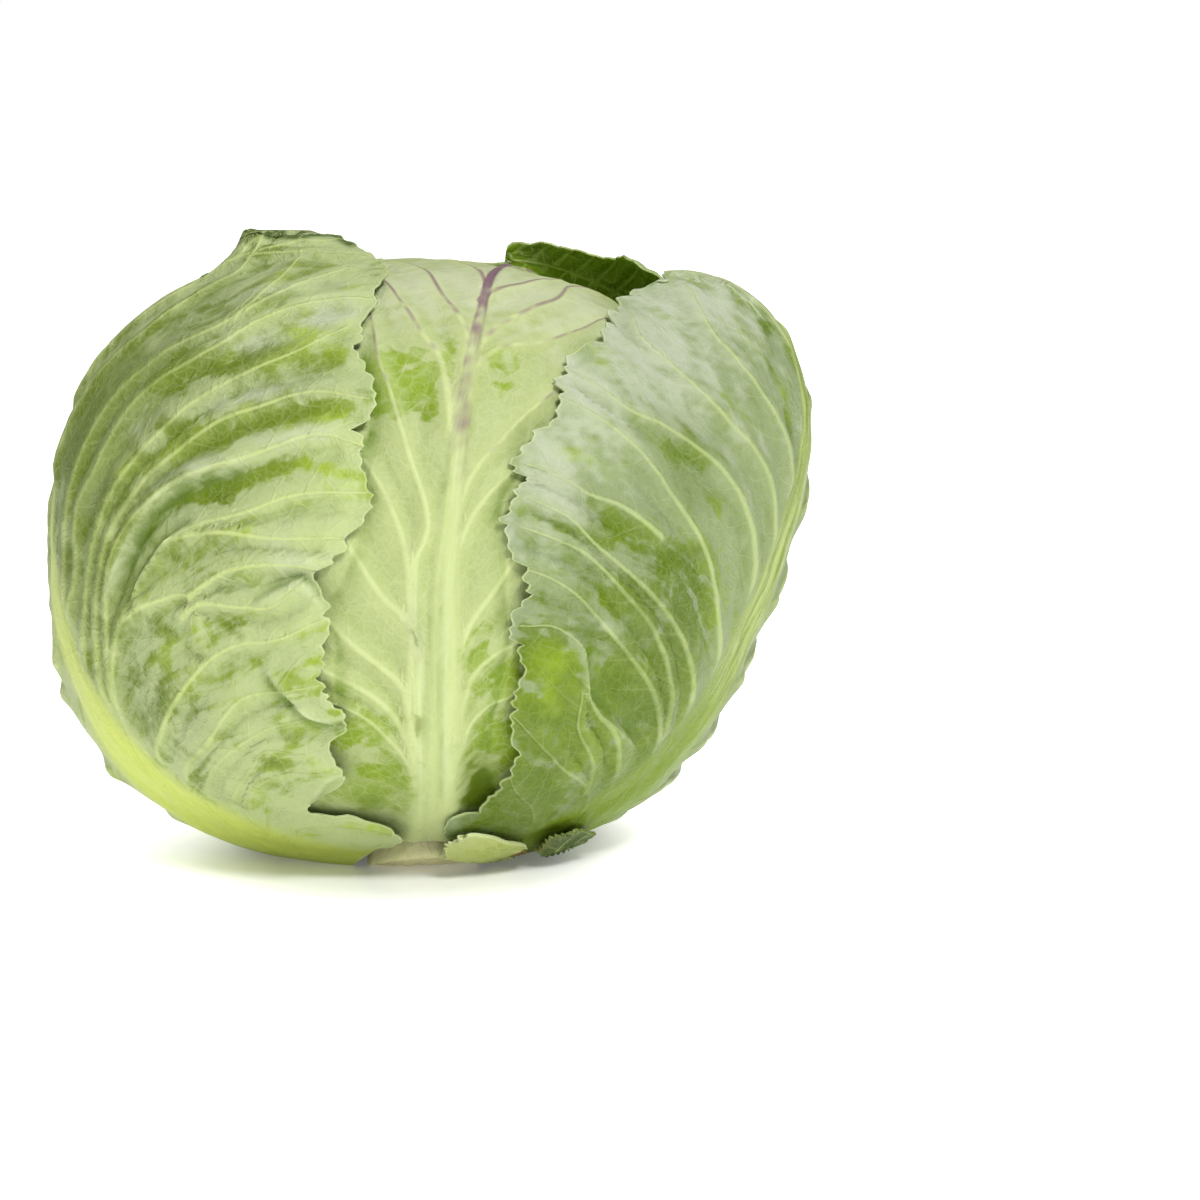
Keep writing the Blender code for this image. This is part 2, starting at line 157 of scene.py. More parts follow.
# Places on a leaf are (degrees sideways, degrees from the stem). Margins are (share of the length, place),
# bands (angle, middle of the rib in degrees, half-width in mm), creases (line, lip, drop and width in mm,
# pale edge line, partly a painted highlight on a fold's lip, painted shade on the drop side), swells and
# patches (place, half-width, half-length, height in mm or strength); the shade patches are painted shade.
plainLeaf = {
    "over": False, "drift": 0.0, "ribFrom": 12.0, "flare": noFlare, "teeth": 1.0, "crownTeeth": (0.7, 0.8),
    "calm": (0, 1), "veins": (), "rowVeins": (), "creases": (), "swells": (),
}
leafLeft = {
    **plainLeaf, "azimuth": -90, "ribTo": 140, "ribWidth": 15, "ribHeight": 2.4, "stalk": 0.6, "scallop": 1.4,
    "wave": 0.6, "depth": leftDepth, "flare": leftFlare, "seed": 3, "ragged": 0.9, "quilt": 1.15,
    "groove": 0.25, "crest": 0, "step": 0.9, "darkRim": (0.79, 0.955), "calm": (32, 62),
    "band": ((12, 10, 24), (30, 13, 22), (50, 14, 19), (80, 14, 14), (110, 14, 9), (142, 4, 4)),
    "right": (
        (0, 44, 12), (0.04, 74, 13), (0.075, 82, 16), (0.11, 78, 22), (0.148, 57, 29), (0.185, 72, 33),
        (0.23, 74, 39), (0.265, 81, 43), (0.3, 76, 47), (0.36, 79, 53), (0.41, 80, 60), (0.445, 80, 65),
        (0.48, 85, 69), (0.52, 88.5, 75), (0.63, 91, 93), (0.67, 90.5, 102), (0.705, 93.5, 111),
        (0.745, 94.5, 128), (0.79, 91.5, 143), (0.82, 85, 149), (0.845, 76, 151.5), (0.87, 67, 147.5),
        (0.89, 60.5, 148.8), (0.905, 56, 146.4), (0.925, 51.5, 152), (0.945, 46, 149), (0.97, 38, 146.5),
        (1, 28, 146),
    ),
    "left": (
        (0, -44, 12), (0.06, -58, 20), (0.18, -66, 38), (0.35, -72, 62), (0.55, -72, 92), (0.72, -64, 121),
        (0.86, -46, 138), (1, -22, 142),
    ),
    "veins": (
        ((8, 58), (20, 74), (31.4, 82.7), (33.8, 89.7), (40.7, 93.5), (46.4, 98.3), (53.3, 102.7),
         (60.3, 105.5), (66.8, 107.8), (74.2, 112.6), (84.2, 115), (91, 115.2)),
        ((14, 54), (26, 70), (36.7, 81.5), (45.5, 88.9), (55.1, 93.9), (62.2, 97.5), (69.8, 100),
         (75.5, 101.6), (82.9, 104.3), (87, 107)),
        ((17, 50), (30, 68), (37.1, 77), (41.8, 81.5), (51.9, 87.4), (59.5, 90.1), (68, 93.2), (74.1, 93.8),
         (82.9, 94.5), (89.7, 92.7)),
        ((19, 47), (31, 64), (40.6, 76.5), (46.6, 81.5), (53.8, 84), (60.7, 85.4), (71.3, 85.9), (75.6, 86.7),
         (84.3, 87.4), (89.2, 85.3)),
        ((9, 26), (16, 34), (25, 46.9), (25.8, 56.5), (29.5, 61.4), (35.8, 67), (44.4, 71.8), (51.4, 76),
         (55.2, 77.6), (61.8, 78.2), (70.1, 78), (77.9, 78.9), (88, 78)),
        ((55.2, 77.6), (64.1, 76.4), (73.1, 73.4), (86.1, 71.3)),
        ((56.3, 68.2), (58.5, 68.7), (63.7, 70), (72.2, 69.5), (79.7, 67.4), (83.5, 65.7)),
        ((39.9, 69.5), (49.6, 69.6), (56.3, 68.2), (54.6, 62.5), (55.2, 58.7)),
        ((54.8, 66), (56.8, 66.6), (64.9, 64.5), (71.2, 63.2), (76.6, 65.6)),
        ((10, 23), (18, 33), (25, 43.4), (28.4, 48.6), (35.8, 51.6), (44.2, 54.5), (51.3, 56.8), (56.8, 58.4),
         (61.7, 59), (70.9, 58.2), (77.9, 59.5)),
        ((22.6, 40.1), (35.7, 45.3), (45.7, 46.6), (52.5, 49), (60.1, 51.1), (67.6, 50.3), (74, 50)),
        ((20, 32), (25.1, 36.7), (35.7, 40.9), (43.9, 43), (53.2, 44.3), (61.8, 45.3), (71.7, 45)),
        ((24, 29), (32.3, 34.8), (45, 38.3), (50.7, 39.8), (57.6, 41.9), (65, 40)),
        ((27, 26), (32.9, 31), (43.4, 35.5), (50, 37.1), (57.7, 37.4), (70.5, 35.5)),
        ((12, 62), (24, 80), (33, 95), (45, 105), (57, 110.5), (66.8, 113.9), (72.3, 124.3), (73.4, 137.1)),
        ((5, 76), (16, 96), (32, 112), (46, 121), (54, 131), (57.8, 139.8), (58.5, 150)),
        ((66.8, 112.9), (76.3, 121.1), (87.6, 128.1)),
        ((3, 92), (14, 112), (30, 126), (42, 134), (47, 146)),
        ((14, 19), (30, 24), (45, 26), (60, 24), (76, 20)),
    ),
    "rowVeins": ((-1, range(0, 9)), (1, (7, 8))),
    "creases": (
        (((36, 72), (41, 75), (46.6, 79), (53.8, 82.8), (60.7, 84.8), (68, 85.2), (76, 85.8)), 2.2, -1.5,
         4.2, 0.9, 1),
        (((62, 78.8), (56.5, 78), (51.4, 75.8), (46, 72.8), (42, 69)), 2, -0.8, 3, 0.4, 0.8),
        (((65, 56), (67.5, 50.6), (69.4, 47.6), (71.6, 45.2), (75.4, 43.4), (80, 42)), 1.3, -0.7, 2.6, 0.8,
         1),
        (((80.5, 60.5), (79.7, 62.2), (78.5, 64.5), (77.1, 66.3), (73.9, 65.8), (72, 65.5), (69.4, 64.9),
          (66.5, 63.5)), 0.8, -0.8, 2.4, 0.4, 0.8),
        (((62, 31), (67, 33), (72, 34.2), (78, 33.8)), 0.5, -0.6, 2.2, 0.5, 0.4),
    ),
    "swells": (
        (62, 88, 9, 3, 0.9), (48, 66, 7, 5, 0.8), (44, 49.5, 8, 2.2, 0.7), (66, 66.5, 6, 2, 0.5),
        (60, 55, 7, 2.2, 0.7), (56, 101, 8, 3, 0.8), (72, 109, 6, 3, 0.7), (57, 79.2, 3.5, 1.4, -1.4),
        (80, 97.5, 5, 2.6, 0.6), (68, 81.5, 9, 1.8, -0.5),
    ),
    "patches": {
        "bare": (
            (64.7, 105.4, 8, 2.6, 0.9), (80.3, 106, 5, 4, 0.8), (61.9, 91.2, 5, 2.2, 0.6),
            (64, 82.4, 8, 1.5, 1), (73, 83.6, 8, 1, 0.7), (85, 91.4, 4, 2.4, 0.8), (47, 90.5, 4, 3, 0.8),
            (54, 95.8, 5, 1.5, 0.7), (42, 79.5, 4, 1.6, 0.9), (49, 82.2, 5, 1.2, 0.9), (70, 104, 6, 2, 0.3),
            (57, 61, 5, 3, 0.35), (68, 68, 3, 2, 0.3), (79, 48, 2.5, 2, 0.8), (68, 52, 3, 2.5, 0.4),
            (60, 39.5, 4, 2, 0.4), (50, 92.5, 4, 5, 0.5), (36, 92, 4, 8, 0.5), (86, 102, 2.5, 3, 0.6),
            (46, 60, 4, 3, 0.5),
        ),
        # shade patches: painted shade, in the upper left partly the leaf's own darker green
        "shade": (
            (38, 100, 17, 24, 1.9), (47, 104, 12, 9, 1.8), (57, 104, 9, 8, 0.7), (38, 78, 9, 10, 1.3),
            (84, 98, 8, 9, 0.3), (56, 113, 9, 6, 0.7), (58, 100, 9, 3, 0.5), (46, 87, 7, 6, 0.9),
            (28, 80, 6, 16, 0.8), (60, 91, 9, 3, 0.3), (55, 127, 7, 12, 0.7), (74, 127, 10, 7, 0.25),
            (86, 100, 4, 8, 0.4), (40, 80, 5, 8, 0.8), (66, 120, 8, 4, 0.4), (31, 60, 3, 16, 0.5),
            (36, 40, 5, 5, 0.3),
        ),
        # pale patches here: painted highlights along vein tops and fold lips
        "pale": (
            (84, 111, 6, 4, 1), (74, 96, 10, 1.6, 0.8), (72, 107, 8, 2, 0.7), (80, 88, 8, 1.2, 0.8),
            (60, 86.6, 8, 1.3, 1), (76, 69, 5, 4, 0.7), (50, 98, 6, 1.6, 0.8), (44, 90, 5, 1.6, 0.8),
            (58, 112, 7, 1.6, 0.7), (72, 121, 9, 2, 0.6),
        ),
        "dark": ((52, 148, 4.5, 4, 1), (49, 150, 4, 5, 1), (78, 43, 3, 1.3, 0.5), (80, 98, 4, 1.2, 0.3)),
    },
}

leafRight = {
    **plainLeaf, "azimuth": 92, "ribTo": 117, "ribWidth": 15, "ribHeight": 2.2, "stalk": 0.6, "scallop": 1.2,
    "wave": 0.7, "depth": evenDepth(0), "flare": rightFlare, "seed": 5, "ragged": 1, "quilt": 1.2,
    "groove": 0.2, "calm": (20, 45),
    "band": ((12, -6, 22), (35, -9, 18), (60, -6, 13), (90, -3, 8), (119, 0, 4)),
    "crest": 0, "step": -0.8,
    "right": (
        (0, 42, 12), (0.08, 46, 24), (0.25, 51, 46), (0.45, 56, 72), (0.62, 53, 95), (0.78, 42, 112),
        (0.9, 28, 118), (1, 12, 119),
    ),
    "left": (
        (0, -40, 12), (0.05, -70, 14), (0.09, -79, 21), (0.13, -65, 24), (0.19, -63, 32), (0.31, -67, 49),
        (0.42, -68.5, 63), (0.53, -71, 77), (0.6, -68, 84), (0.66, -63, 92), (0.73, -56, 103),
        (0.8, -40, 118), (0.87, -24, 127), (0.94, -17, 125), (1, -11, 120.5),
    ),
    "veins": (
        ((-5, 51), (-18, 64), (-30, 75), (-42.6, 82.7), (-47, 86), (-51.5, 88.5), (-56.8, 91.4), (-60, 93)),
        ((-6, 41), (-22, 56), (-40.5, 65), (-51.3, 69.1), (-56, 71.2), (-59.7, 73.7), (-66, 76)),
        ((-4, 64), (-16, 80), (-33, 90), (-42.2, 92), (-49.1, 93), (-52.6, 95), (-56.7, 98)),
        ((-3, 74), (-15, 90), (-28, 98), (-37.2, 106.3), (-39.7, 109.7), (-38, 116)),
        ((-42, 74.5), (-51.4, 77.4), (-57.2, 78.1), (-61.4, 80), (-67, 81.6)),
        ((-8, 36), (-20, 46), (-33.3, 57), (-47, 64.2), (-52.3, 67), (-58, 69.5), (-67, 71.8)),
        ((-8, 30), (-16.7, 42), (-30, 50), (-44.9, 56.4), (-52.4, 59.9), (-58, 63.2), (-61.9, 64.6),
         (-67, 65.9)),
        ((-9, 26), (-24, 36), (-38.5, 43.4), (-47.3, 46.4), (-50.2, 48.9), (-51.5, 52.8), (-56.3, 56.2),
         (-60.6, 57.5), (-65.5, 57.2)),
        ((-9, 21), (-20, 29), (-35, 33.6), (-46, 35.2), (-52.3, 37.2), (-60, 40.2), (-63.6, 42)),
        ((-30.5, 32.2), (-37.2, 37.1), (-48.3, 42.5), (-51.5, 48)),
        ((-20, 18), (-30.6, 21.1), (-46.7, 26.9), (-56.6, 29.6), (-62.5, 33.4)),
        ((-2, 84), (-10, 96), (-18, 104), (-23.9, 113), (-21.7, 122)),
        ((-12, 15), (-35, 17), (-55, 18), (-74, 19)),
    ),
    "rowVeins": ((1, range(0, 9)), (-1, (8,))),
    "creases": (
        (((-24, 42), (-31.6, 43.6), (-39, 44.8), (-44.7, 46.2), (-49.4, 48.4), (-51.5, 52), (-53.5, 55),
          (-57, 57), (-61, 57.6)), 1.8, -1.5, 3.6, 0.5, 1),
        (((-62, 72), (-56, 68), (-50, 64)), 0.7, -0.6, 3, 0.3, 0.4),
    ),
    "swells": (
        (-57, 52, 5, 3, 1.3), (-58.5, 46.5, 4, 2.5, 1), (-55, 60.5, 5, 2, 0.9), (-60, 67.5, 5, 2, 0.6),
        (-43, 61, 6, 3, 0.8), (-46, 52.5, 4, 2.5, -1.1), (-38, 70, 6, 3, 0.8), (-52, 81, 6, 3, 0.6),
        (-45, 98, 6, 4, 0.7), (-58, 36, 5, 2.5, 0.7), (-45, 40, 5, 2, 0.7), (-28, 52, 7, 4, 0.7),
    ),
    "patches": {
        "bare": (
            (-61, 52, 7, 5, 1), (-56, 45.5, 9, 5, 1), (-46, 39, 12, 5, 0.9), (-62, 44, 6, 6, 0.8),
            (-49, 62, 5, 3, 0.6), (-52, 73.5, 5, 2, 0.5), (-60, 84, 3, 1.8, 0.5), (-50, 30, 16, 6, 0.9),
            (-44, 88, 4, 2, 0.3), (-56, 33, 8, 3, 0.7), (-40, 50, 9, 6, 0.9), (-30, 60, 8, 12, 0.6),
            (-25, 40, 14, 10, 0.8),
        ),
        # shade patches: painted shade on the lower part and beside the fold
        "shade": (
            (-42, 60, 8, 8, 0.9), (-43, 50, 8, 4, 1), (-54, 40, 14, 8, 0.9), (-50, 22, 30, 12, 1),
            (-30, 50, 9, 9, 0.9), (-36, 86, 6, 7, 0.5), (-57, 61, 8, 2.5, 0.5), (-25, 34, 18, 10, 0.9),
        ),
        # pale patches here: a painted whitish sheen on the upper shoulder and along a fold's lip
        "pale": (
            (-40, 108, 16, 14, 1), (-56, 94, 10, 8, 1), (-64, 80, 6, 9, 0.9), (-22, 119, 12, 8, 1),
            (-52, 58.8, 9, 1.2, 0.5),
        ),
    },
}

leafBack = {
    **plainLeaf, "azimuth": 160, "ribTo": 154, "ribWidth": 15, "ribHeight": 2.2, "stalk": 0.4, "scallop": 1.2,
    "wave": 0.5, "depth": backDepth, "flare": backFlare, "seed": 7, "ragged": 0.8, "teeth": 0.55,
    "quilt": 1.1, "groove": 0.2,
    "band": ((12, 0, 20), (40, 0, 15), (80, 0, 9), (120, 0, 5), (157, 0, 2)),
    "crest": 0.3, "step": 0.3,
    "right": (
        (0, 40, 12), (0.06, 62, 20), (0.18, 72, 36), (0.35, 74, 62), (0.55, 70, 94), (0.7, 62, 120),
        (0.82, 54, 140), (0.92, 40, 152), (1, 18, 156),
    ),
    "left": (
        (0, -26, 12), (0.07, -40, 22), (0.18, -58, 38), (0.35, -62, 64), (0.52, -65, 92), (0.61, -74, 113),
        (0.665, -85, 127), (0.71, -86, 134), (0.75, -80, 139), (0.785, -75, 143), (0.815, -69.5, 149),
        (0.845, -66, 154), (0.862, -61, 158.5), (0.872, -58, 157), (0.885, -54, 162), (0.91, -47, 159),
        (1, -16, 157),
    ),
    "veins": (
        ((-52, 112), (-59, 126), (-60, 138), (-59, 148), (-56, 157)),
        *(((-59, angle + 2), (-66, angle + 0.4), (-74, angle - 1.2), (-82, angle - 2.4))
          for angle in (122, 126, 130, 134, 137.6, 141.2, 144.6, 148, 151.4, 154.6)),
    ),
    "rowVeins": ((1, range(0, 9)), (-1, range(0, 6))),
    "swells": ((20, 80, 10, 8, 0.8), (-30, 60, 12, 8, 0.8), (35, 110, 10, 8, 0.7), (-40, 100, 10, 8, 0.8)),
    "patches": {
        "bare": (
            (18, 70, 14, 5, 0.8), (-34, 84, 10, 6, 0.8), (40, 100, 8, 10, 0.7), (-20, 118, 12, 4, 0.6),
            (50, 60, 8, 8, 0.6), (-48, 52, 8, 8, 0.6), (10, 130, 14, 5, 0.7),
        ),
        "dark": ((-70, 140, 24, 22, 1), (-40, 158, 14, 6, 0.9), (0, 100, 5, 12, 0.2)),
    },
}

leafFront = {
    **plainLeaf, "azimuth": 9, "over": True, "drift": 18, "ribTo": 172, "ribWidth": 12, "ribHeight": 2,
    "stalk": 0.6, "scallop": 0.8, "wave": 0.3, "depth": evenDepth(layers["wrap"]), "seed": 11, "ragged": 0.5,
    "quilt": 0.55, "groove": 0.55,
    "band": (
        (12, 0.1, 9), (24, 0.6, 7.5), (38, 1.2, 6.2), (54, 1.8, 4.6), (68, 2, 3.6), (82, 2.1, 2.6),
        (97, 2, 2), (114, 1.8, 1.3), (141, -0.5, 1.1), (172, -2, 0.8),
    ),
    "crest": 0.8, "step": 0.25,
    "right": (
        (0, 7, 12), (0.06, 16, 21), (0.15, 27, 36), (0.3, 40, 60), (0.5, 46, 92), (0.66, 42, 122),
        (0.8, 36, 148), (0.92, 24, 166), (1, 11, 175),
    ),
    "left": (
        (0, -7, 12), (0.06, -25, 20), (0.15, -38, 35), (0.3, -46, 60), (0.5, -50, 92), (0.66, -50, 122),
        (0.8, -44, 148), (0.92, -28, 166), (1, -12, 175),
    ),
    "veins": (
        ((-1.5, 26), (-4.1, 41.2), (-3.6, 51), (-2.9, 61), (-2.7, 67.6), (-1.4, 71.5), (-2, 75.4),
         (-4.1, 80.6), (-7.2, 88.1), (-10.1, 95.1), (-13, 101.4), (-15.1, 108), (-20, 122)),
        ((-3, 52), (-3.4, 58), (-4.6, 69), (-8, 76.9), (-12.9, 84), (-16, 88.6), (-24, 98)),
        ((-2.5, 44), (-3.6, 56.7), (-8.2, 62), (-12.4, 68.4), (-15, 72.5), (-22, 81), (-32, 92)),
        ((-2.2, 35), (-3.8, 40.5), (-5.2, 47.2), (-8.5, 50.5), (-13.4, 54.6), (-17.7, 59.1), (-26, 67),
         (-36, 76)),
        ((-1.5, 26), (-2.3, 31.2), (-4.1, 37.6), (-6.6, 42.5), (-11, 46.3), (-15.3, 48.5), (-24, 53),
         (-34, 60)),
        ((-1.2, 21), (-2.4, 27.4), (-4.6, 34.9), (-6.6, 37.6), (-10.2, 41.1), (-15.7, 43.8), (-23, 46)),
        ((2, 38), (3.5, 50.1), (3.6, 67.1), (3.4, 75.6), (5.1, 80.6), (9, 85.9), (11.5, 89.4), (14.9, 93.6),
         (22, 103)),
        ((3, 46), (3.8, 54.1), (3.8, 68.8), (5.4, 73.4), (7.8, 77), (11.1, 80.3), (14, 82.7), (24, 91)),
        ((2.4, 38), (3.9, 52), (6, 57), (10.1, 62), (12.6, 65.9), (20, 73), (32, 84)),
        ((3, 37), (4.5, 44.4), (5.7, 47.7), (7.9, 50.2), (12, 52.5), (20, 57), (32, 66)),
        ((3, 30), (4.4, 36.3), (5.6, 40.1), (7.9, 42.5), (12, 44), (22, 48)),
        ((0.5, 88), (-1.2, 94.4), (-2.4, 98.7), (-7.5, 107.2), (-15.3, 121.8), (-22.8, 136.8)),
        ((1.4, 91.8), (0.5, 105.5), (-1.7, 110.7), (-5.8, 118.7), (-12.5, 133.7), (-21.1, 146.8)),
        ((2.2, 93.6), (2.9, 103.5), (4.6, 107.9), (9.9, 116.8), (13, 123.4), (13.5, 140), (18, 152)),
        ((2.4, 98.5), (6.3, 103.5), (13.4, 106.9), (18.6, 113), (22.8, 123.6)),
        ((1, 118), (3, 123.1), (7.2, 132.5), (9.8, 145.1)),
        ((0.6, 124), (-3.7, 136.2), (-11.8, 151.6)),
    ),
    # the creases with no lip are only painted shade: strips of shadow where the margins of the left and right
    # leaves lie over this leaf; the two with a small lip are strands along the rib
    "creases": (
        (((-12.5, 68), (-11.4, 74.6), (-12.5, 79.9), (-12.9, 85.5), (-12.2, 90.2), (-13.4, 93.8),
          (-15.7, 101.1), (-15.9, 106.5), (-15.9, 113)), 0, -0.5, 3.4, 0, 1),
        (((-15, 36), (-15.1, 43.5), (-15.4, 47.6), (-16, 56.1), (-17.5, 60.1), (-15.4, 62.4), (-12.3, 69.5),
          (-11.4, 76)), 0, -0.3, 2.6, 0, 0.5),
        (((1.9, 70), (1.6, 60), (1, 45), (1.3, 33), (1.6, 22)), 0.35, -0.5, 1.5, 0.5, 0.35),
        (((-1.2, 17), (-1.6, 28), (-1.9, 40), (-1.2, 54), (-0.4, 66)), 0.3, -0.3, 1.3, 0.4, 0.3),
        (((14, 95), (12.9, 87.9), (12.8, 81.4), (10.2, 75.3), (11.3, 67.5), (11.9, 60), (12.1, 53.4),
          (10.5, 45.2), (9.5, 38.5), (9, 30.7), (7.5, 22)), 0, -0.4, 3, 0, 0.65),
    ),
    "swells": (
        (-10, 75, 5, 6, 0.5), (-14, 60, 5, 4, 0.5), (9, 72, 4, 4, 0.5), (8.3, 27, 3.6, 7, -2.6),
        (-7, 28, 4, 5, -1.2), (13, 58, 5, 3, 0.5), (-6, 100, 6, 6, 0.4),
    ),
    "patches": {
        "bare": (
            (-6, 96.5, 6.5, 4.6, 1), (-10.5, 100.5, 5.5, 3, 1), (-2.2, 101, 2, 3, 0.7),
            (6.4, 101.8, 3.6, 3, 1), (-14, 97, 4, 7, 0.8), (-3, 91, 2, 2.4, 0.6), (8, 96, 6, 1.6, 0.5),
            (12, 47, 4, 4, 0.6), (8, 51, 3, 3, 0.5), (11, 36, 4, 5, 0.8), (-15, 38, 6, 4, 0.8),
            (-8, 30, 5, 5, 0.6), (17, 88, 3, 4, 0.5), (9, 92, 3, 4, 0.4), (30, 140, 9, 12, 0.5),
        ),
        "pale": ((0, 126, 45, 17, 1),),
        "purple": ((0, 132, 60, 27, 1),),
        "brown": ((-2.6, 41.2, 0.5, 1.6, 0.5), (-2.8, 39.3, 0.4, 0.7, 0.4)),
        # shade patches: painted shade beside the rib's foot and along the right leaf's margin
        "shade": (
            (9, 27, 5, 8, 1), (-10, 27, 7, 6, 0.9), (-6.5, 30, 3.5, 10, 0.7), (6.5, 38, 2.5, 8, 0.5),
            (17, 38, 6, 8, 0.8), (-20, 40, 8, 8, 0.8), (22, 70, 3, 20, 0.6), (-24, 28, 9, 9, 0.9),
        ),
        # dark patches here: painted shade in the hollows beside the rib's foot
        "dark": ((8, 25.5, 3.4, 6, 1), (-9.5, 24, 3, 4, 0.4), (8.5, 18, 6, 3, 0.9), (-22, 22, 8, 3, 0.3)),
    },
}

leafRear = {
    **plainLeaf, "azimuth": 184, "over": True, "ribTo": 176, "ribWidth": 12, "ribHeight": 1, "stalk": 0.4,
    "scallop": 0.8, "wave": 0.2, "depth": evenDepth(layers["rear"]), "seed": 13, "ragged": 0.5, "quilt": 0.35,
    "groove": 0.3, "band": ((12, 0, 8), (60, 0, 5), (100, 0, 2), (176, 0, 0.8)), "crest": 0.2, "step": 0.15,
    "right": (
        (0, 7, 12), (0.06, 16, 21), (0.15, 28, 36), (0.3, 42, 60), (0.5, 50, 92), (0.66, 50, 122),
        (0.8, 44, 148), (0.92, 28, 168), (1, 12, 178),
    ),
    "left": (
        (0, -7, 12), (0.06, -16, 21), (0.15, -28, 36), (0.3, -42, 60), (0.5, -50, 92), (0.66, -50, 122),
        (0.8, -44, 148), (0.92, -28, 168), (1, -12, 178),
    ),
    "rowVeins": ((1, range(0, 9)), (-1, range(0, 9))),
    "patches": {
        "bare": ((20, 100, 12, 16, 0.6), (-20, 130, 12, 14, 0.5)), "pale": ((0, 150, 40, 20, 0.8),),
        "purple": ((0, 160, 60, 20, 0.8),),
    },
}

leafStub = {
    **plainLeaf, "azimuth": 46, "ribTo": 19.5, "ribWidth": 10, "ribHeight": 0.8, "stalk": 0.4, "scallop": 1.2,
    "wave": 0.3, "depth": evenDepth(-3.9), "seed": 17, "ragged": 0.8, "quilt": 0.2, "groove": 0,
    "band": ((12, 0, 12), (20, 0, 8)), "crest": 0, "step": 0, "crownTeeth": (0.6, 0.9),
    "right": ((0, 26, 12), (0.5, 31, 16), (1, 17, 19.5)),
    "left": ((0, -26, 12), (0.5, -30, 16), (1, -24, 20.5)),
    "patches": {
        # the shade patch is painted shade along the top of the stub
        "bare": ((8, 17, 11, 3.5, 1),), "shade": ((4, 18.5, 12, 2, 0.8),),
        "brown": ((24, 17, 7, 2, 1), (-2, 12.6, 14, 0.6, 0.3)),
    },
}

leafScrap = {
    **plainLeaf, "azimuth": 87, "ribFrom": 19.5, "ribTo": 28.5, "ribWidth": 5, "ribHeight": 0.4, "stalk": 0,
    "scallop": 0.8, "wave": 0.3, "depth": evenDepth(-4.2), "seed": 19, "ragged": 0.9, "quilt": 0.2,
    "groove": 0, "band": ((19, 0, 1.2), (30, 0, 0.6)), "crest": 0.2, "step": 0.2,
    "right": ((0, 9, 19.5), (0.5, 13, 24), (1, 8, 27)), "left": ((0, -14, 19), (0.5, -21, 23), (1, -12, 27)),
    "veins": (((-2, 20), (0, 24), (3, 28)), ((-1, 21), (-8, 23), (-14, 26)), ((0, 23), (6, 25), (9, 27))),
    "patches": {"dark": ((0, 24, 30, 8, 0.7),), "brown": ((-15, 20, 4, 1.5, 0.7),)},
}


def leafMargin(leaf, name, t):  # sideways and along, at a share of the leaf's length
    shares, sides, angles = zip(*leaf[name])
    return throughPoints(shares, sides, t), throughPoints(shares, angles, t)


def leafAngles(leaf, s, t):  # s is -1 to 1 from margin to margin, t is 0 to 1 from stem to tip
    rib = leaf["ribFrom"] + (leaf["ribTo"] - leaf["ribFrom"]) * t**ribBend
    (leftSide, leftAngle), (rightSide, rightAngle) = (leafMargin(leaf, name, t) for name in ("left", "right"))
    sideways = np.where(s < 0, -leftSide, rightSide) * s
    edgeAngle = np.where(s < 0, leftAngle, rightAngle)
    m = np.abs(s)
    along = rib + (edgeAngle - rib) * m * (veinRise - (veinRise - 1) * m)
    scallop = leaf["scallop"] * m**6 * np.sin(2 * math.pi * (veinCount * t + 0.2) + 2.0 * s)
    return sideways + scallop * np.sign(s), along


def raggedMargin(leaf, s, t):  # fine teeth and nicks, in degrees, only close to the margins
    maker = np.random.default_rng(leaf["seed"])
    total = 0.0
    for waves, size in ((17, 0.5), (29, 0.55), (43, 0.5), (61, 0.5), (83, 0.4)):
        bend = maker.uniform(0, 6, 2)
        start = np.where(s < 0, bend[0], bend[1]) + 2.6 * np.sin(11.0 * t + bend[0])
        wave = np.sin(2 * math.pi * waves * t + start)
        gate = 0.35 + 0.65 * np.sin(5.3 * waves**0.5 * t + bend[1]) ** 2
        total = total + size * gate * (wave - 0.6 * np.abs(wave))
    teeth = leaf["ragged"] * leaf["teeth"] * total * np.abs(s) ** 16
    crown = smoothStep(*leaf["crownTeeth"], t)  # near the tip the margin runs sideways
    return teeth * np.sign(s) * (1 - 0.6 * crown), 1.3 * crown * np.minimum(teeth, 0.3)


driftForm = {"from": 60.0, "over": 76.0, "power": 1.6}  # how a leaf over the crown leans to one side


def leafDirection(leaf, sideways, along):
    if leaf["over"]:
        share = np.maximum(along - driftForm["from"], 0) / driftForm["over"]
        drift = leaf["drift"] * share ** driftForm["power"]
        return directionOver(leaf["azimuth"], sideways + drift, along)
    return directionRound(leaf["azimuth"] + sideways, along)


def leafSkin(leaf, sideways, along):  # direction and radius of the leaf's outer face, before its relief
    direction = leafDirection(leaf, sideways, along)
    radius = outsideRadius(direction) - leaf["depth"](sideways, along) + leaf["flare"](sideways, along)
    return direction, radius


def sidewaysSize(leaf, along):  # millimetres for one degree sideways
    size = headForm["radius"] * math.pi / 180
    return size + 0 * along if leaf["over"] else size * np.maximum(np.sin(np.radians(along)), 0.05)


def denseLine(leaf, line, spacing=0.7):  # the line with a place every spacing mm, and its length
    line = np.array(line, float)
    steps = np.diff(line, axis=0) * alongSize
    steps[:, 0] *= sidewaysSize(leaf, line[:-1, 1]) / alongSize
    lengths = np.concatenate([[0], np.cumsum(np.linalg.norm(steps, axis=1))])
    x = np.linspace(0, lengths[-1], max(4, int(lengths[-1] / spacing)))
    if len(line) == 2:
        return np.stack([np.interp(x, lengths, line[:, k]) for k in (0, 1)], -1), lengths[-1]
    return np.stack([throughPoints(lengths, line[:, k], x) for k in (0, 1)], -1), lengths[-1]


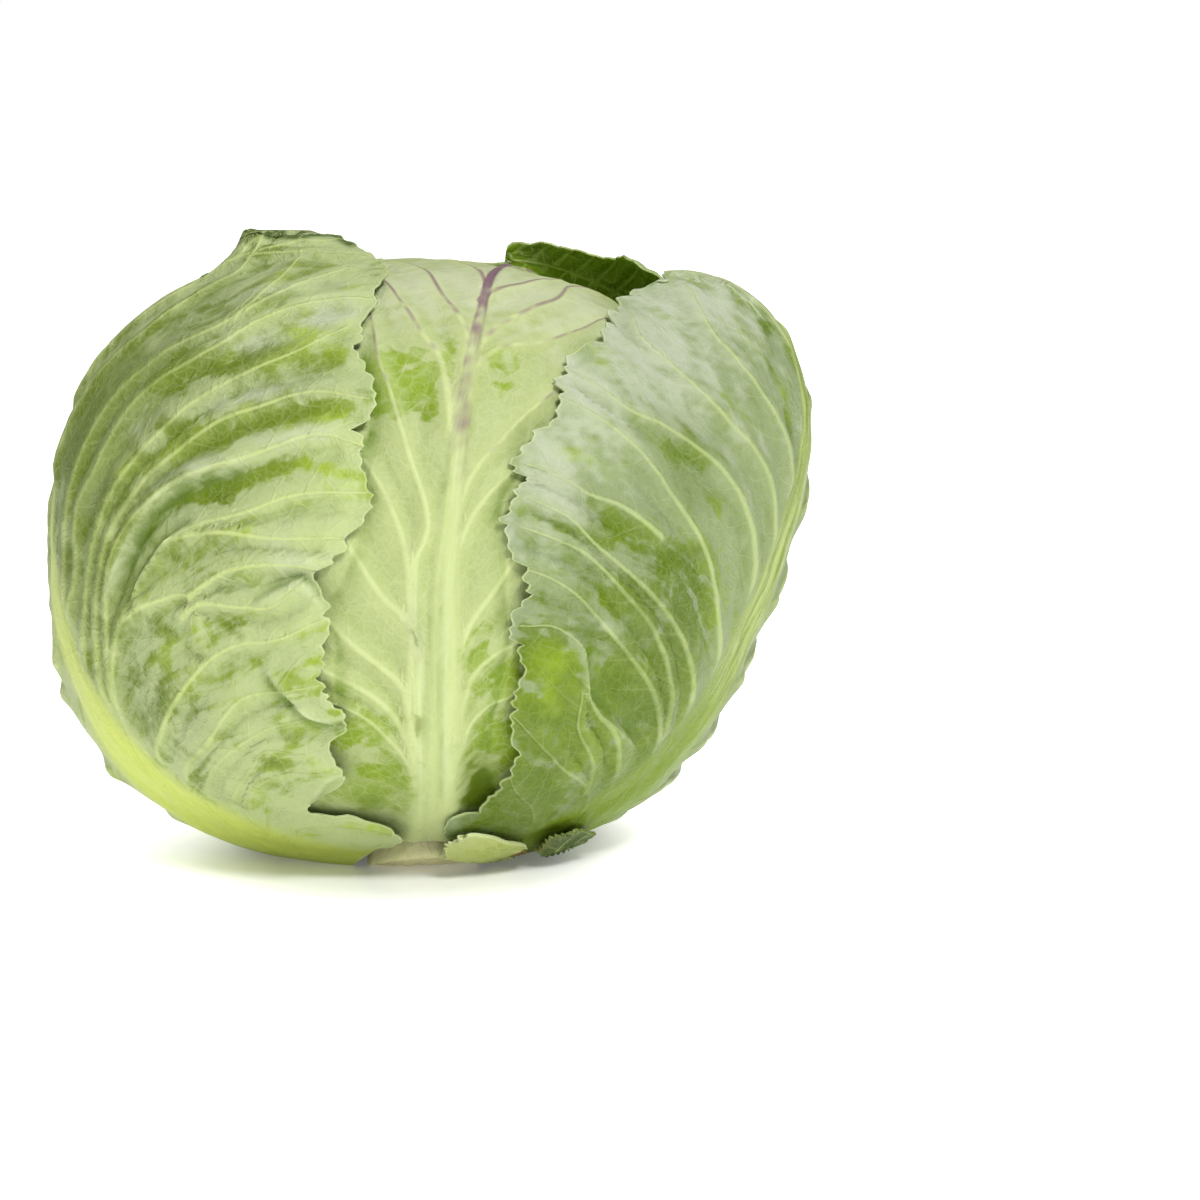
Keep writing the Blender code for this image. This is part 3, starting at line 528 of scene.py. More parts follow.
veinForm = {  # millimetres: half-width and height at the foot, and what each millimetre of length adds
    "half": (0.75, 0.008), "height": (0.55, 0.005), "longest": 110, "row": (1.5, 0.9), "fork": (0.7, 0.5),
    "taper": 0.75, "rowSpan": (0.02, 0.95), "forkFrom": (0.5, 0.68), "forkWide": 0.042, "wobble": 0.008,
}


def rowVein(leaf, side, row, maker):  # a side vein along one row of the leaf, forked near the margin
    start, end = veinForm["rowSpan"]
    t0 = (rowsPerVein * row + 1) / (rowsPerVein * veinCount)
    s = np.linspace(start, end, 12)
    wobble = veinForm["wobble"] * np.sin(7.0 * s + maker.uniform(0, 6)) * s
    lines = [np.stack(leafAngles(leaf, side * s, np.clip(t0 + wobble, 0, 1)), -1)]
    fork = maker.uniform(*veinForm["forkFrom"])
    s = np.linspace(fork, end, 7)
    spread = veinForm["forkWide"] * ((s - fork) / (end - fork)) ** 0.8
    for way in (-1, 1):
        lines.append(np.stack(leafAngles(leaf, side * s, np.clip(t0 + way * spread, 0, 1)), -1))
    return lines


class VeinNet:  # veins as rows of places on a leaf, and the nearest of them to any place
    def __init__(self, leaf):
        self.leaf = leaf
        self.points, self.tangents, self.normals = [], [], []
        self.halves, self.heights, self.owners = [], [], []
        self.lines = []

    def add(self, line, half, height, taper=veinForm["taper"]):
        dense, length = denseLine(self.leaf, line)
        direction, radius = leafSkin(self.leaf, dense[:, 0], dense[:, 1])
        points = radius[:, None] * direction
        tangents = np.gradient(points, axis=0)
        tangents /= np.linalg.norm(tangents, axis=1)[:, None]
        share = np.linspace(0, 1, len(dense))
        self.lines.append((dense, half, length))
        self.points.append(points)
        self.tangents.append(tangents)
        self.normals.append(direction)
        self.halves.append(half * (1 - taper * share))
        self.heights.append(height * (1 - taper * share))
        self.owners.append(np.full(len(dense), len(self.lines) - 1))

    def close(self):
        self.points, self.tangents = np.concatenate(self.points), np.concatenate(self.tangents)
        self.normals, self.halves = np.concatenate(self.normals), np.concatenate(self.halves)
        self.heights, self.owners = np.concatenate(self.heights), np.concatenate(self.owners)
        self.tree = kdtree.KDTree(len(self.points))
        for i, point in enumerate(self.points):
            self.tree.insert(point, i)
        self.tree.balance()

    def read(self, places):  # signed offset across the nearest vein, distance, half-width and height
        found = np.array([self.tree.find(place)[1] for place in places])
        step = places - self.points[found]
        across = np.cross(self.normals[found], self.tangents[found])
        return (step * across).sum(1), np.linalg.norm(step, axis=1), self.halves[found], self.heights[found]


twigForm = {  # degrees and millimetres; main and small give half-width, height and taper
    "first": (3, 7), "gap": (4.5, 8.5), "branch": (42, 66), "turn": (10, 34), "reach": (5, 15),
    "pace": 1.4, "wander": 0.1, "join": 0.8, "main": (0.42, 0.3, 0.55), "small": (0.3, 0.2, 0.5),
    "smallPace": 1.3, "smallShare": 0.75,
}


def growTwigs(leaf, mains, maker):  # small veins off the main ones, stopped where they meet another
    form, net = twigForm, VeinNet(leaf)
    for owner, (line, half, length) in enumerate(mains.lines):
        place = maker.uniform(*form["first"])
        way = 1
        while place < length - 1.5:
            i = min(int(place / length * (len(line) - 1)), len(line) - 2)
            here = line[i]
            scale = np.array((float(sidewaysSize(leaf, here[1])), alongSize))
            ahead = (line[i + 1] - here) * scale
            heading = math.atan2(ahead[1], ahead[0]) + way * math.radians(maker.uniform(*form["branch"]))
            turn = -way * math.radians(maker.uniform(*form["turn"]))
            steps = int(maker.uniform(*form["reach"]) / form["pace"]) + 2
            path = [here]
            for k in range(steps):
                angle = heading + turn * k / steps + maker.normal(0, form["wander"])
                spot = path[-1] + form["pace"] * np.array((math.cos(angle), math.sin(angle))) / scale
                direction, radius = leafSkin(leaf, spot[0], spot[1])
                near = mains.tree.find(direction * radius)
                path.append(spot)
                if k > 1 and near[2] < form["join"] and mains.owners[near[1]] != owner:
                    break
            if len(path) > 3:
                net.add(path, *form["main"])
                if maker.uniform() < form["smallShare"]:  # one finer twig from its middle
                    angle = heading - way * math.radians(70)
                    step = form["smallPace"] * np.array((math.cos(angle), math.sin(angle))) / scale
                    net.add([path[len(path) // 2] + n * step for n in range(4)], *form["small"])
            place += maker.uniform(*form["gap"])
            way = -way
    return net


def makeNets(leaf):
    maker = np.random.default_rng(leaf["seed"] + 100)
    mains = VeinNet(leaf)
    for line in leaf["veins"]:
        long = min(denseLine(leaf, line)[1], veinForm["longest"])
        mains.add(line, *(foot + more * long for foot, more in (veinForm["half"], veinForm["height"])))
    for side, rows in leaf["rowVeins"]:
        for row in rows:
            lines = rowVein(leaf, side, row, maker)
            mains.add(lines[0], *veinForm["row"])
            for fork in lines[1:]:
                mains.add(fork, *veinForm["fork"])
    if not mains.lines:
        return None, None
    mains.close()
    twigs = growTwigs(leaf, mains, maker)
    twigs.close()
    return mains, twigs


def patchMask(leaf, name, sideways, along, skin):  # blots with uneven outlines
    mask = 0.0 * along
    uneven = np.exp(0.75 * softNoise(skin, 11, leaf["seed"] + 5) + 0.6 * softNoise(skin, 4.5, leaf["seed"] + 6))
    for side, angle, wide, long, strength in leaf["patches"].get(name, ()):
        ring = ((sideways - side) / wide) ** 2 + ((along - angle) / long) ** 2
        mask = np.maximum(mask, strength * np.exp(-((ring * uneven) ** 1.2)))
    return np.minimum(mask, 1)


def creaseRelief(leaf, places):  # a lip on one side of each crease and a drop on the other
    relief, edge, creaseShade = np.zeros((3, len(places)))
    for line, lip, drop, wide, edgeShare, creaseShadeShare in leaf["creases"]:
        net = VeinNet(leaf)
        net.add(line, 1.0, 1.0, 0.0)
        net.close()
        across, far = net.read(places)[:2]
        spot = np.array([net.tree.find(place)[1] for place in places]) / (len(net.points) - 1)
        fade = smoothStep(0.0, 0.2, spot) * smoothStep(1.0, 0.8, spot)
        beyond = np.sqrt(np.maximum(far**2 - across**2, 0))
        fade = fade * smoothStep(3.0, 0.0, beyond)
        step = smoothStep(-0.8, 0.8, across)
        near = np.exp(-((across / wide) ** 2))
        relief += fade * (step * lip + (1 - step) * drop) * near
        # a pale line on the lip side, partly a painted highlight on a fold's lip, and painted shade on the drop
        # side
        edge = np.maximum(edge, edgeShare * fade * np.exp(-(((across - 0.7) / 0.9) ** 2)))
        creaseShade = np.maximum(creaseShade, creaseShadeShare * fade * smoothStep(0.5, -0.6, across) * near)
    return relief, edge, creaseShade


def gridFaces(columns, rows):  # quads of an outer and an inner grid with a rim between them
    wide = columns + 1
    i, j = np.meshgrid(np.arange(columns), np.arange(rows))
    a = (j * wide + i).ravel()
    face = np.stack([a, a + 1, a + 1 + wide, a + wide], -1)
    count = wide * (rows + 1)
    loop = np.concatenate([np.arange(columns), np.arange(rows) * wide + columns,
                           rows * wide + np.arange(columns, 0, -1), np.arange(rows, 0, -1) * wide])
    after = np.roll(loop, -1)
    rim = np.stack([loop, loop + count, after + count, after], -1)
    return np.concatenate([face, face[:, ::-1] + count, rim]), loop


sharpAngle = 60
boxMargin = 0.2  # how far a finer piece may go past its solid's box, in millimetres


def makePiece(name, points, faces, material, node, marks=None):
    mesh = bpy.data.meshes.new(name)
    points = points * toMetres
    if isinstance(faces, np.ndarray):
        mesh.vertices.add(len(points))
        mesh.vertices.foreach_set("co", points.ravel())
        mesh.loops.add(faces.size)
        mesh.loops.foreach_set("vertex_index", faces.ravel())
        mesh.polygons.add(len(faces))
        mesh.polygons.foreach_set("loop_start", np.arange(0, faces.size, faces.shape[1]))
        mesh.update(calc_edges=True)
    else:
        mesh.from_pydata(points.tolist(), [], faces)
    mesh.validate()
    form = bmesh.new()
    form.from_mesh(mesh)
    if form.calc_volume(signed=True) < 0:
        bmesh.ops.reverse_faces(form, faces=form.faces)
        form.to_mesh(mesh)
    form.free()
    for mark, values in (marks or {}).items():
        data = mesh.attributes.new(mark, "FLOAT", "POINT").data
        data.foreach_set("value", np.ascontiguousarray(values, np.float32))
    mesh.shade_smooth()
    mesh.set_sharp_from_angle(angle=math.radians(sharpAngle))
    mesh.materials.append(material)
    piece = bpy.data.objects.new(name, mesh)
    bpy.context.scene.collection.objects.link(piece)
    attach(piece, "root")
    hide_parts(node)
    return piece


def insideBox(points, node):  # keeps a piece within the solid that it stands for
    low, high = (np.array(corner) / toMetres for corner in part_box(node))
    level = np.clip(points, low - boxMargin, high + boxMargin)
    return np.where((True, True, False), level, np.clip(points, low, high + boxMargin))


leafRelief = {  # millimetres: size and height of the bumps, height of twigs and of a rolled margin
    "swell": (34, 0.35), "dimple": (13, 0.16), "edge": (7, 0.45), "twig": 0.07, "rolled": 1.1, "thinRim": 0.35,
}


def ribRelief(leaf, s, t, sideways, along):
    size = sidewaysSize(leaf, along)
    across = np.clip(sideways * size / (leaf["ribWidth"] * (1 - 0.7 * t)), -1, 1)
    bandAt, bandLine, bandHalf = zip(*leaf["band"])
    ribSide = (sideways - np.interp(along, bandAt, bandLine)) * size
    ribHalf = np.interp(along, bandAt, bandHalf)
    rib = leaf["ribHeight"] * (1 - 0.75 * t) * (1 - across**2)
    rib = rib * (1 - leaf["groove"] * np.exp(-((across / 0.3) ** 2)) * smoothStep(0.5, 0.15, t))
    rib = rib + leaf["crest"] * np.clip(1 - (ribSide / ribHalf) ** 2, 0, 1)
    return rib, {"ribSide": ribSide, "ribHalf": ribHalf, "share": t, "spread": s}


def veinRelief(leaf, s, along, skin, offBand):  # raised veins, the quilted blade between them, and twigs
    mains, twigs = makeNets(leaf)
    if not mains:
        return 0.0, {}
    veinSide, veinFar, veinHalf, veinTall = mains.read(skin)
    twigSide, twigFar, twigHalf = twigs.read(skin)[:3]
    calm = 0.35 + 0.65 * smoothStep(*leaf["calm"], along)
    fade = smoothStep(1.0, 0.93, np.abs(s)) * offBand * calm
    ridge = veinTall * np.exp(-((veinFar / (1.5 * veinHalf + 0.5)) ** 2))
    relief = fade * (ridge + leaf["quilt"] * (np.exp(-((veinFar / 4.5) ** 2)) - 0.35))
    step = np.tanh(veinSide / 2.2) * np.exp(-((veinFar / 6.5) ** 2)) * smoothStep(0.05, 0.3, veinHalf)
    relief = relief + fade * leaf["step"] * step
    relief = relief + fade * leafRelief["twig"] * np.exp(-((twigFar / 1.3) ** 2))
    # painted shade: a mask on the lower side of each raised vein step
    below = -np.sign(leaf["step"]) * veinSide
    lee = fade * smoothStep(0.2, 2.4, below) * smoothStep(9.0, 3.0, veinFar) * smoothStep(0.1, 0.5, veinHalf)
    return relief, {"veinSide": veinSide, "veinFar": veinFar, "veinHalf": veinHalf, "lee": lee, "calm": calm,
                    "twigSide": twigSide, "twigFar": twigFar, "twigHalf": twigHalf}


def rimDistance(skin, loop):
    tree = kdtree.KDTree(len(loop))
    for i in loop:
        tree.insert(skin[i], int(i))
    tree.balance()
    return np.array([tree.find(place)[2] for place in skin])


def makeLeaf(node, leaf, columns, rows, material):
    x, t = np.meshgrid(np.linspace(-1, 1, columns + 1), np.linspace(0, 1, rows + 1))
    x, t = x.ravel(), t.ravel()
    s = x * (1.16 - 0.16 * x * x)  # closer columns near the margins
    sideways, along = leafAngles(leaf, s, t)
    across, upward = raggedMargin(leaf, s, t)
    sideways, along = sideways + across, along + upward
    direction, radius = leafSkin(leaf, sideways, along)
    skin = radius[:, None] * direction
    seed = leaf["seed"]
    rib, marks = ribRelief(leaf, s, t, sideways, along)
    relief = rib + leaf["wave"] * np.abs(s) ** 5 * np.sin(2 * math.pi * veinCount * t + 3.0 * s)
    for number, (name, strength) in enumerate((("swell", 1), ("dimple", 1), ("edge", leaf["ragged"] * s**12))):
        size, height = leafRelief[name]
        relief = relief + strength * height * softNoise(skin, size, seed + number)
    offBand = 1 - smoothStep(1.25, 0.7, np.abs(marks["ribSide"]) / marks["ribHalf"])
    raised, veinMarks = veinRelief(leaf, s, along, skin, offBand)
    folded, marks["edge"], marks["creaseShade"] = creaseRelief(leaf, skin)
    marks.update(veinMarks)
    relief = relief + raised + folded
    for side, angle, wide, long, height in leaf["swells"]:
        relief = relief + height * np.exp(-(((sideways - side) / wide) ** 2) - ((along - angle) / long) ** 2)
    faces, loop = gridFaces(columns, rows)
    marks["rim"] = rimDistance(skin, loop)
    for name in ("bare", "dark", "pale", "purple", "brown", "shade"):
        marks[name] = patchMask(leaf, name, sideways, along, skin)
    if "darkRim" in leaf:  # a dark margin, rolled outwards, from one share of the length to another
        low, high = leaf["darkRim"]
        rolled = smoothStep(low, low + 0.02, t) * smoothStep(high, high - 0.01, t) * (s > 0.5)
        rolled = rolled * np.exp(-((marks["rim"] / (3.0 + 1.3 * softNoise(skin, 9, seed + 7))) ** 2))
        marks["dark"] = np.maximum(marks["dark"], rolled)
        relief = relief + leafRelief["rolled"] * rolled
    outer = np.minimum(radius + relief, floorDistance(direction))
    inward = np.abs(s)
    thickness = layers["edge"] + (layers["leaf"] - layers["edge"]) * smoothStep(1.0, 0.7, inward)
    thickness = thickness + leaf["stalk"] * smoothStep(0.22, 0.0, t) * (1 - s**2)
    thickness = thickness * (1 - leafRelief["thinRim"] * smoothStep(0.97, 1.0, inward))
    marks = {name: np.concatenate([values, values]) for name, values in marks.items()}
    marks["inner"] = np.repeat((0, 1), len(s))
    points = headCentre + np.concatenate([outer[:, None] * direction, (outer - thickness)[:, None] * direction])
    makePiece(node + "_fine", insideBox(points, node), faces, material, node, marks)
    print("leaf", node, len(points), "points")


# azimuth of each of the heart's outermost leaves, its half-width and its reach from the stem, in degrees
heartLeaves = ((60.0, 74.0, 176.0), (250.0, 70.0, 172.0), (140.0, 66.0, 168.0), (330.0, 62.0, 160.0))


def heartRadius(direction):
    radius = outsideRadius(direction) - layers["heart"]
    for azimuth, halfWidth, reach in heartLeaves:
        middle = directionRound(np.array(azimuth), np.array(0.5 * reach))
        lateral = directionRound(np.array(azimuth + 90.0), np.array(90.0))
        sideways = np.degrees(np.arcsin(np.clip(direction @ lateral, -1, 1)))
        along = np.degrees(np.arccos(np.clip(direction @ middle, -1, 1)))
        inside = np.minimum(halfWidth - np.abs(sideways), 0.5 * reach - along)
        waved = inside + 1.5 * np.sin(np.radians(6 * along))
        radius = radius + layers["heartStep"] * smoothStep(0.0, 5.0, waved)
    return radius


def makeHeart(material):
    ball = bmesh.new()
    bmesh.ops.create_icosphere(ball, subdivisions=7, radius=1.0)
    direction = np.array([v.co for v in ball.verts], float)
    direction /= np.linalg.norm(direction, axis=1)[:, None]
    faces = np.array([[v.index for v in face.verts] for face in ball.faces])
    ball.free()
    skin = direction * headForm["radius"]
    relief = 0.4 * softNoise(skin, 30, 21) + 0.2 * softNoise(skin, 9, 22)
    radius = np.minimum(heartRadius(direction) + relief - 0.4, floorDistance(direction) - layers["heart"])
    points = insideBox(headCentre + radius[:, None] * direction, "heart")
    makePiece("heart_fine", points, faces, material, "heart")
    print("heart", len(faces), "faces")


stemCut = {"angle": 10.4, "reach": 1.5, "clearance": 2.2, "columns": 120, "rings": 14, "sideRows": 30}


def makeStem(material):
    cut = stemCut
    rings = [(0.0, (k + 1) / cut["rings"]) for k in range(cut["rings"])]
    rings += [((k + 1) / cut["sideRows"], 1.0) for k in range(cut["sideRows"])]
    rings += [(1.0, 1 - (k + 1) / cut["rings"]) for k in range(cut["rings"] - 1)]
    azimuth = np.tile(np.linspace(0, 360, cut["columns"], endpoint=False), len(rings))
    level, share = (np.repeat([ring[k] for ring in rings], cut["columns"]) for k in (0, 1))
    lobes = 1 + 0.04 * np.cos(np.radians(5 * azimuth)) + 0.008 * np.sin(np.radians(23 * azimuth))
    lobes = lobes + 0.006 * np.sin(np.radians(41 * azimuth + 60)) - 0.03 * (2 * level - 1) ** 6
    angle = (cut["angle"] - 0.4) * lobes / 1.06 * share
    azimuth, angle = np.append(azimuth, (0, 0)), np.append(angle, (0, 0))
    level = np.append(level, (0, 1))
    direction = directionRound(azimuth, angle)
    inner = heartRadius(direction) + cut["clearance"]
    grain = 0.25 * softNoise(direction * 300, 6, 31) + 0.2 * softNoise(direction * 300, 2.5, 32)
    outer = np.minimum(outsideRadius(direction) + cut["reach"] + grain, floorDistance(direction))
    radius = inner + (outer - inner) * level
    count, wide = len(rings), cut["columns"]
    ways = [(i, (i + 1) % wide) for i in range(wide)]
    faces = [(row + i, row + k, row + wide + k, row + wide + i)
             for row in range(0, (count - 1) * wide, wide) for i, k in ways]
    first, last, top = count * wide, count * wide + 1, (count - 1) * wide
    faces += [(first, k, i) for i, k in ways] + [(last, top + i, top + k) for i, k in ways]
    marks = {"cutFace": level * (1 - np.append(share, (0, 0)) ** 4), "level": level}
    points = insideBox(headCentre + radius[:, None] * direction, "stem")
    makePiece("stem_fine", points, faces, material, "stem", marks)
    print("stem", len(faces), "faces")


class Socket:  # one shader value, so that masks are written as sums
    def __init__(self, shader, socket):
        self.shader, self.socket = shader, socket

    def maths(self, operation, *others):
        values = dict(enumerate((self, *others)))
        return self.shader.add("Math", {"operation": operation}, values)

    def __add__(self, other):
        return self.maths("ADD", other)

    def __sub__(self, other):
        return self.maths("SUBTRACT", other)

    def __mul__(self, other):
        return self.maths("MULTIPLY", other)

    def __truediv__(self, other):
        return self.maths("DIVIDE", other)

    def __rsub__(self, other):
        return self.shader.add("Math", {"operation": "SUBTRACT"}, {0: other, 1: self})

    __radd__ = __add__
    __rmul__ = __mul__

    def size(self):
        return self.maths("ABSOLUTE")

    def most(self, other):
        return self.maths("MAXIMUM", other)

    def least(self, other):
        return self.maths("MINIMUM", other)

    def step(self, low, high):  # soft step from 0 at low to 1 at high
        values = {"Value": self, "From Min": low, "From Max": high}
        return self.shader.add("MapRange", {"interpolation_type": "SMOOTHSTEP"}, values)


class Finish:
    def __init__(self, name):
        self.material = bpy.data.materials.new(name)
        self.material.use_nodes = True
        self.tree = self.material.node_tree
        self.main = self.tree.nodes["Principled BSDF"]
        self.place = self.add("VectorMath", {"operation": "SCALE"},
                              {0: self.add("TexCoord", {}, {}, "Object"), "Scale": 1 / toMetres})

    def add(self, kind, settings, values, out=0):
        node = self.tree.nodes.new("ShaderNode" + kind)
        for key, value in settings.items():
            setattr(node, key, value)
        for key, value in values.items():
            self.feed(node.inputs[key], value)
        return Socket(self, node.outputs[out])

    def feed(self, socket, value):
        if isinstance(value, Socket):
            self.tree.links.new(value.socket, socket)
        elif isinstance(value, tuple) and len(value) == 3 and socket.type == "RGBA":
            socket.default_value = (*value, 1)
        else:
            socket.default_value = value

    def mark(self, name):
        return self.add("Attribute", {"attribute_name": name}, {}, "Fac")

    def mix(self, share, a, b):
        return self.add("Mix", {"data_type": "RGBA"}, {0: share, 6: a, 7: b}, 2)

    def noise(self, size, detail=3, rough=0.5, bend=0.0, place=None, stretch=None):
        place = place or self.place
        if stretch:
            place = self.add("VectorMath", {"operation": "MULTIPLY"}, {0: place, 1: stretch})
        values = {"Vector": place, "Scale": 1 / size, "Detail": detail, "Roughness": rough, "Distortion": bend}
        return self.add("TexNoise", {}, values, "Fac")

    def net(self, size, bend):  # distance from the walls of a warped cell pattern, in cell sizes
        push = self.add("TexNoise", {}, {"Vector": self.place, "Scale": 0.7 / size, "Detail": 2}, "Color")
        push = self.add("VectorMath", {"operation": "SCALE"}, {0: push, "Scale": bend})
        place = self.add("VectorMath", {"operation": "ADD"}, {0: self.place, 1: push})
        return self.add("TexVoronoi", {"feature": "DISTANCE_TO_EDGE"}, {"Vector": place, "Scale": 1 / size})

    def bump(self, height, strength=1.0):  # height in millimetres
        values = {"Height": height, "Distance": toMetres, "Strength": strength}
        self.feed(self.main.inputs["Normal"], self.add("Bump", {}, values, "Normal"))


leafGrain = {  # size in millimetres, detail, roughness, distortion; the nets have a size and a warp
    "cloud": (38, 3, 0.55, 0.6), "mottle": (9, 5, 0.62, 1.2), "fine": (1.6, 3, 0.6), "smear": (11, 3, 0.6, 0.9),
    "streak": (2.6, 4, 0.6, 0.4), "net": (3.4, 3.0), "small": (1.25, 1.2),
}


def leafFinish(name, look):  # waxy bloom that is rubbed off in places, over a green blade with pale veins
    f = Finish(name)
    main = f.main
    cloud, mottle, fine = (f.noise(*leafGrain[kind]) for kind in ("cloud", "mottle", "fine"))
    spread = f.add("CombineXYZ", {}, {"X": f.mark("spread") * 34, "Y": f.mark("share") * 250})
    smear = f.noise(*leafGrain["smear"], place=spread)
    along = f.add("CombineXYZ", {}, {"X": f.mark("ribSide"), "Y": f.mark("share") * 20})
    streak = f.noise(*leafGrain["streak"], place=along)
    net, small = f.net(*leafGrain["net"]), f.net(*leafGrain["small"])
    ribAcross = f.mark("ribSide").size() / f.mark("ribHalf")
    vein = f.mark("veinSide").size() / f.mark("veinHalf")
    veinNear = 1 - f.mark("veinFar").step(1.6, 3.2)
    offRib = ribAcross.step(0.7, 1.25)
    veinLine = (1 - vein.step(0.2, 1.05)) * veinNear * offRib * f.mark("calm")
    veinHalo = 1 - f.mark("veinFar").step(0.8, 5.0)
    twig = f.mark("twigSide").size() / f.mark("twigHalf")
    twigLine = (1 - twig.step(0.3, 1.3)) * (1 - f.mark("twigFar").step(1.0, 1.9)) * offRib
    ribShare = 1 - ribAcross.step(0.45, look["ribSpread"])
    rim, inner = f.mark("rim"), f.mark("inner")
    bare, dark = f.mark("bare"), f.mark("dark")

    blade = f.mix(cloud.step(0.35, 0.65), look["green"], look["greenDeep"])
    wiped = (bare * look["bareGain"] + (mottle - 0.5) * 1.3 + (cloud - 0.5) * 1.1 + (smear - 0.5) * 2.2).step(
        look["bloomEdge"], look["bloomEdge"] + 0.42)
    bloom = (1 - wiped) * (0.82 + 0.36 * (fine - 0.5))
    colour = f.mix(bloom * look["bloomShare"], blade, look["bloom"])
    # pale patches: a paler top on the inner leaves, and painted highlights on the left and right outer leaves
    colour = f.mix(f.mark("pale") * (0.6 + mottle * 0.5), colour, look["pale"])
    streakNoise = (smear + (mottle - 0.5) * 0.7).step(0.36, 0.66)
    # painted shade: deep green laid over the shade patches, with veins and halo dimmed there
    shade = f.mark("shade")
    unshaded = 1 - shade * 0.55
    colour = f.mix(shade * (0.72 + streakNoise * 0.28), colour, look["greenDeep"])
    # painted shade: deep green on the lower side of each vein
    colour = f.mix(f.mark("lee") * (0.05 + streakNoise * 0.45) * look["underVeinShadeShare"], colour, look["greenDeep"])
    colour = f.mix((1 - net.step(0.02, 0.13)) * look["netShare"], colour, look["net"])
    colour = f.mix((1 - small.step(0.02, 0.2)) * look["netShare"] * 0.5, colour, look["net"])
    colour = f.mix(twigLine * look["twigShare"], colour, look["vein"])
    colour = f.mix(veinHalo * unshaded * look["haloShare"], colour, look["halo"])
    veinShare = veinLine * unshaded * look["veinShare"] * (0.45 + smear * 0.9).least(1.0)
    colour = f.mix(veinShare, colour, look["vein"])
    ribColour = f.mix(streak.step(0.3, 0.7), look["rib"], look["ribDeep"])
    footColour = f.mix(streak, look["ribFoot"], look["ribDeep"])
    ribColour = f.mix(1 - f.mark("share").step(0.4, 0.65), ribColour, footColour)
    colour = f.mix(ribShare * look["ribShare"], colour, ribColour)
    if "purple" in look:
        stain = f.mark("purple") * (veinLine * 0.8 + (1 - ribAcross.step(0.7, 1.6))).least(1.0)
        colour = f.mix(stain * 0.95, colour, look["purple"])
    innerColour = f.mix(veinLine.most(twigLine * 0.6), look["inner"], look["vein"])
    colour = f.mix(inner * look["innerShare"], colour, innerColour)
    deep = f.mix(veinLine.most(twigLine * 0.7) * 0.55, look["dark"], look["halo"])
    # painted shade: deep green on the drop side of each crease
    colour = f.mix(f.mark("creaseShade") * (0.45 + streakNoise * 0.55), colour, look["creaseShadeColour"])
    # a pale line along each crease's lip: a pale margin where a lobe overlaps, and on a fold a painted
    # highlight
    colour = f.mix(f.mark("edge") * (0.35 + (1 - streakNoise) * 0.5), colour, look["lip"])
    # dark patches: the leaf's own dark green on the back leaf, the scrap and the rolled tip; painted shade on
    # the front leaf's foot
    darkShare = (dark + (mottle - 0.5) * 0.5 * dark).step(0.12, 0.8)
    colour = f.mix(darkShare * (look["darkOutside"] + inner * (1 - look["darkOutside"])), colour, deep)
    colour = f.mix((1 - rim.step(0.15, 0.75)) * look["rimShare"], colour, look["rim"])
    brown = f.mark("brown")
    colour = f.mix((brown + (fine - 0.5) * 0.3 * brown).step(0.15, 0.7), colour, look["brown"])
    f.feed(main.inputs["Base Color"], colour)

    gloss = look["roughness"] + bloom * 0.16 - dark * 0.1 + (fine - 0.5) * 0.12
    f.feed(main.inputs["Roughness"], gloss)
    veinRound = (1 - vein.least(1.4) / 1.4) * veinNear
    height = veinRound * 0.35 + twigLine * 0.12 + (1 - net.step(0.0, 0.22)) * 0.1
    height = height + (1 - small.step(0.0, 0.3)) * 0.05 + fine * 0.07 + mottle * 0.7 + smear * 0.8
    height = height + streak * (0.15 + ribShare * 0.7)
    f.bump(height, look["bump"])
    fixed = {"Specular IOR Level": 0.16, "Subsurface Weight": look["glow"],
             "Subsurface Radius": (0.9, 1.0, 0.3), "Subsurface Scale": 0.004}
    for socket, value in fixed.items():
        main.inputs[socket].default_value = value
    return f.material


outerLook = {
    "green": (0.28, 0.38, 0.03), "greenDeep": (0.105, 0.158, 0.008), "bloom": (0.395, 0.45, 0.245),
    "bloomEdge": 0.0, "bareGain": 1.0, "bloomShare": 0.92, "pale": (0.44, 0.47, 0.35),
    "net": (0.38, 0.45, 0.18), "netShare": 0.14, "vein": (0.50, 0.57, 0.22), "veinShare": 0.62,
    "twigShare": 0.12, "halo": (0.40, 0.48, 0.17), "haloShare": 0.15, "underVeinShadeShare": 1.0, "darkOutside": 1.0,
    "creaseShadeColour": (0.085, 0.15, 0.006), "lip": (0.47, 0.53, 0.31), "rib": (0.50, 0.57, 0.14),
    "ribDeep": (0.40, 0.49, 0.08), "ribFoot": (0.52, 0.58, 0.11), "ribSpread": 1.0, "ribShare": 0.92,
    "inner": (0.15, 0.24, 0.03), "innerShare": 0.85, "dark": (0.055, 0.09, 0.010), "rim": (0.52, 0.59, 0.32),
    "rimShare": 0.42, "brown": (0.14, 0.15, 0.03), "roughness": 0.40, "bump": 0.9, "glow": 0.10,
}
rightLook = {
    **outerLook, "green": (0.18, 0.265, 0.010), "greenDeep": (0.080, 0.13, 0.004),
    "bloom": (0.225, 0.27, 0.155), "pale": (0.41, 0.44, 0.34), "underVeinShadeShare": 0.9, "lip": (0.34, 0.40, 0.20),
    "netShare": 0.07, "halo": (0.27, 0.33, 0.12), "vein": (0.40, 0.47, 0.20), "rib": (0.38, 0.45, 0.16),
    "ribDeep": (0.14, 0.21, 0.01), "ribFoot": (0.16, 0.235, 0.012), "bloomEdge": 0.02,
}
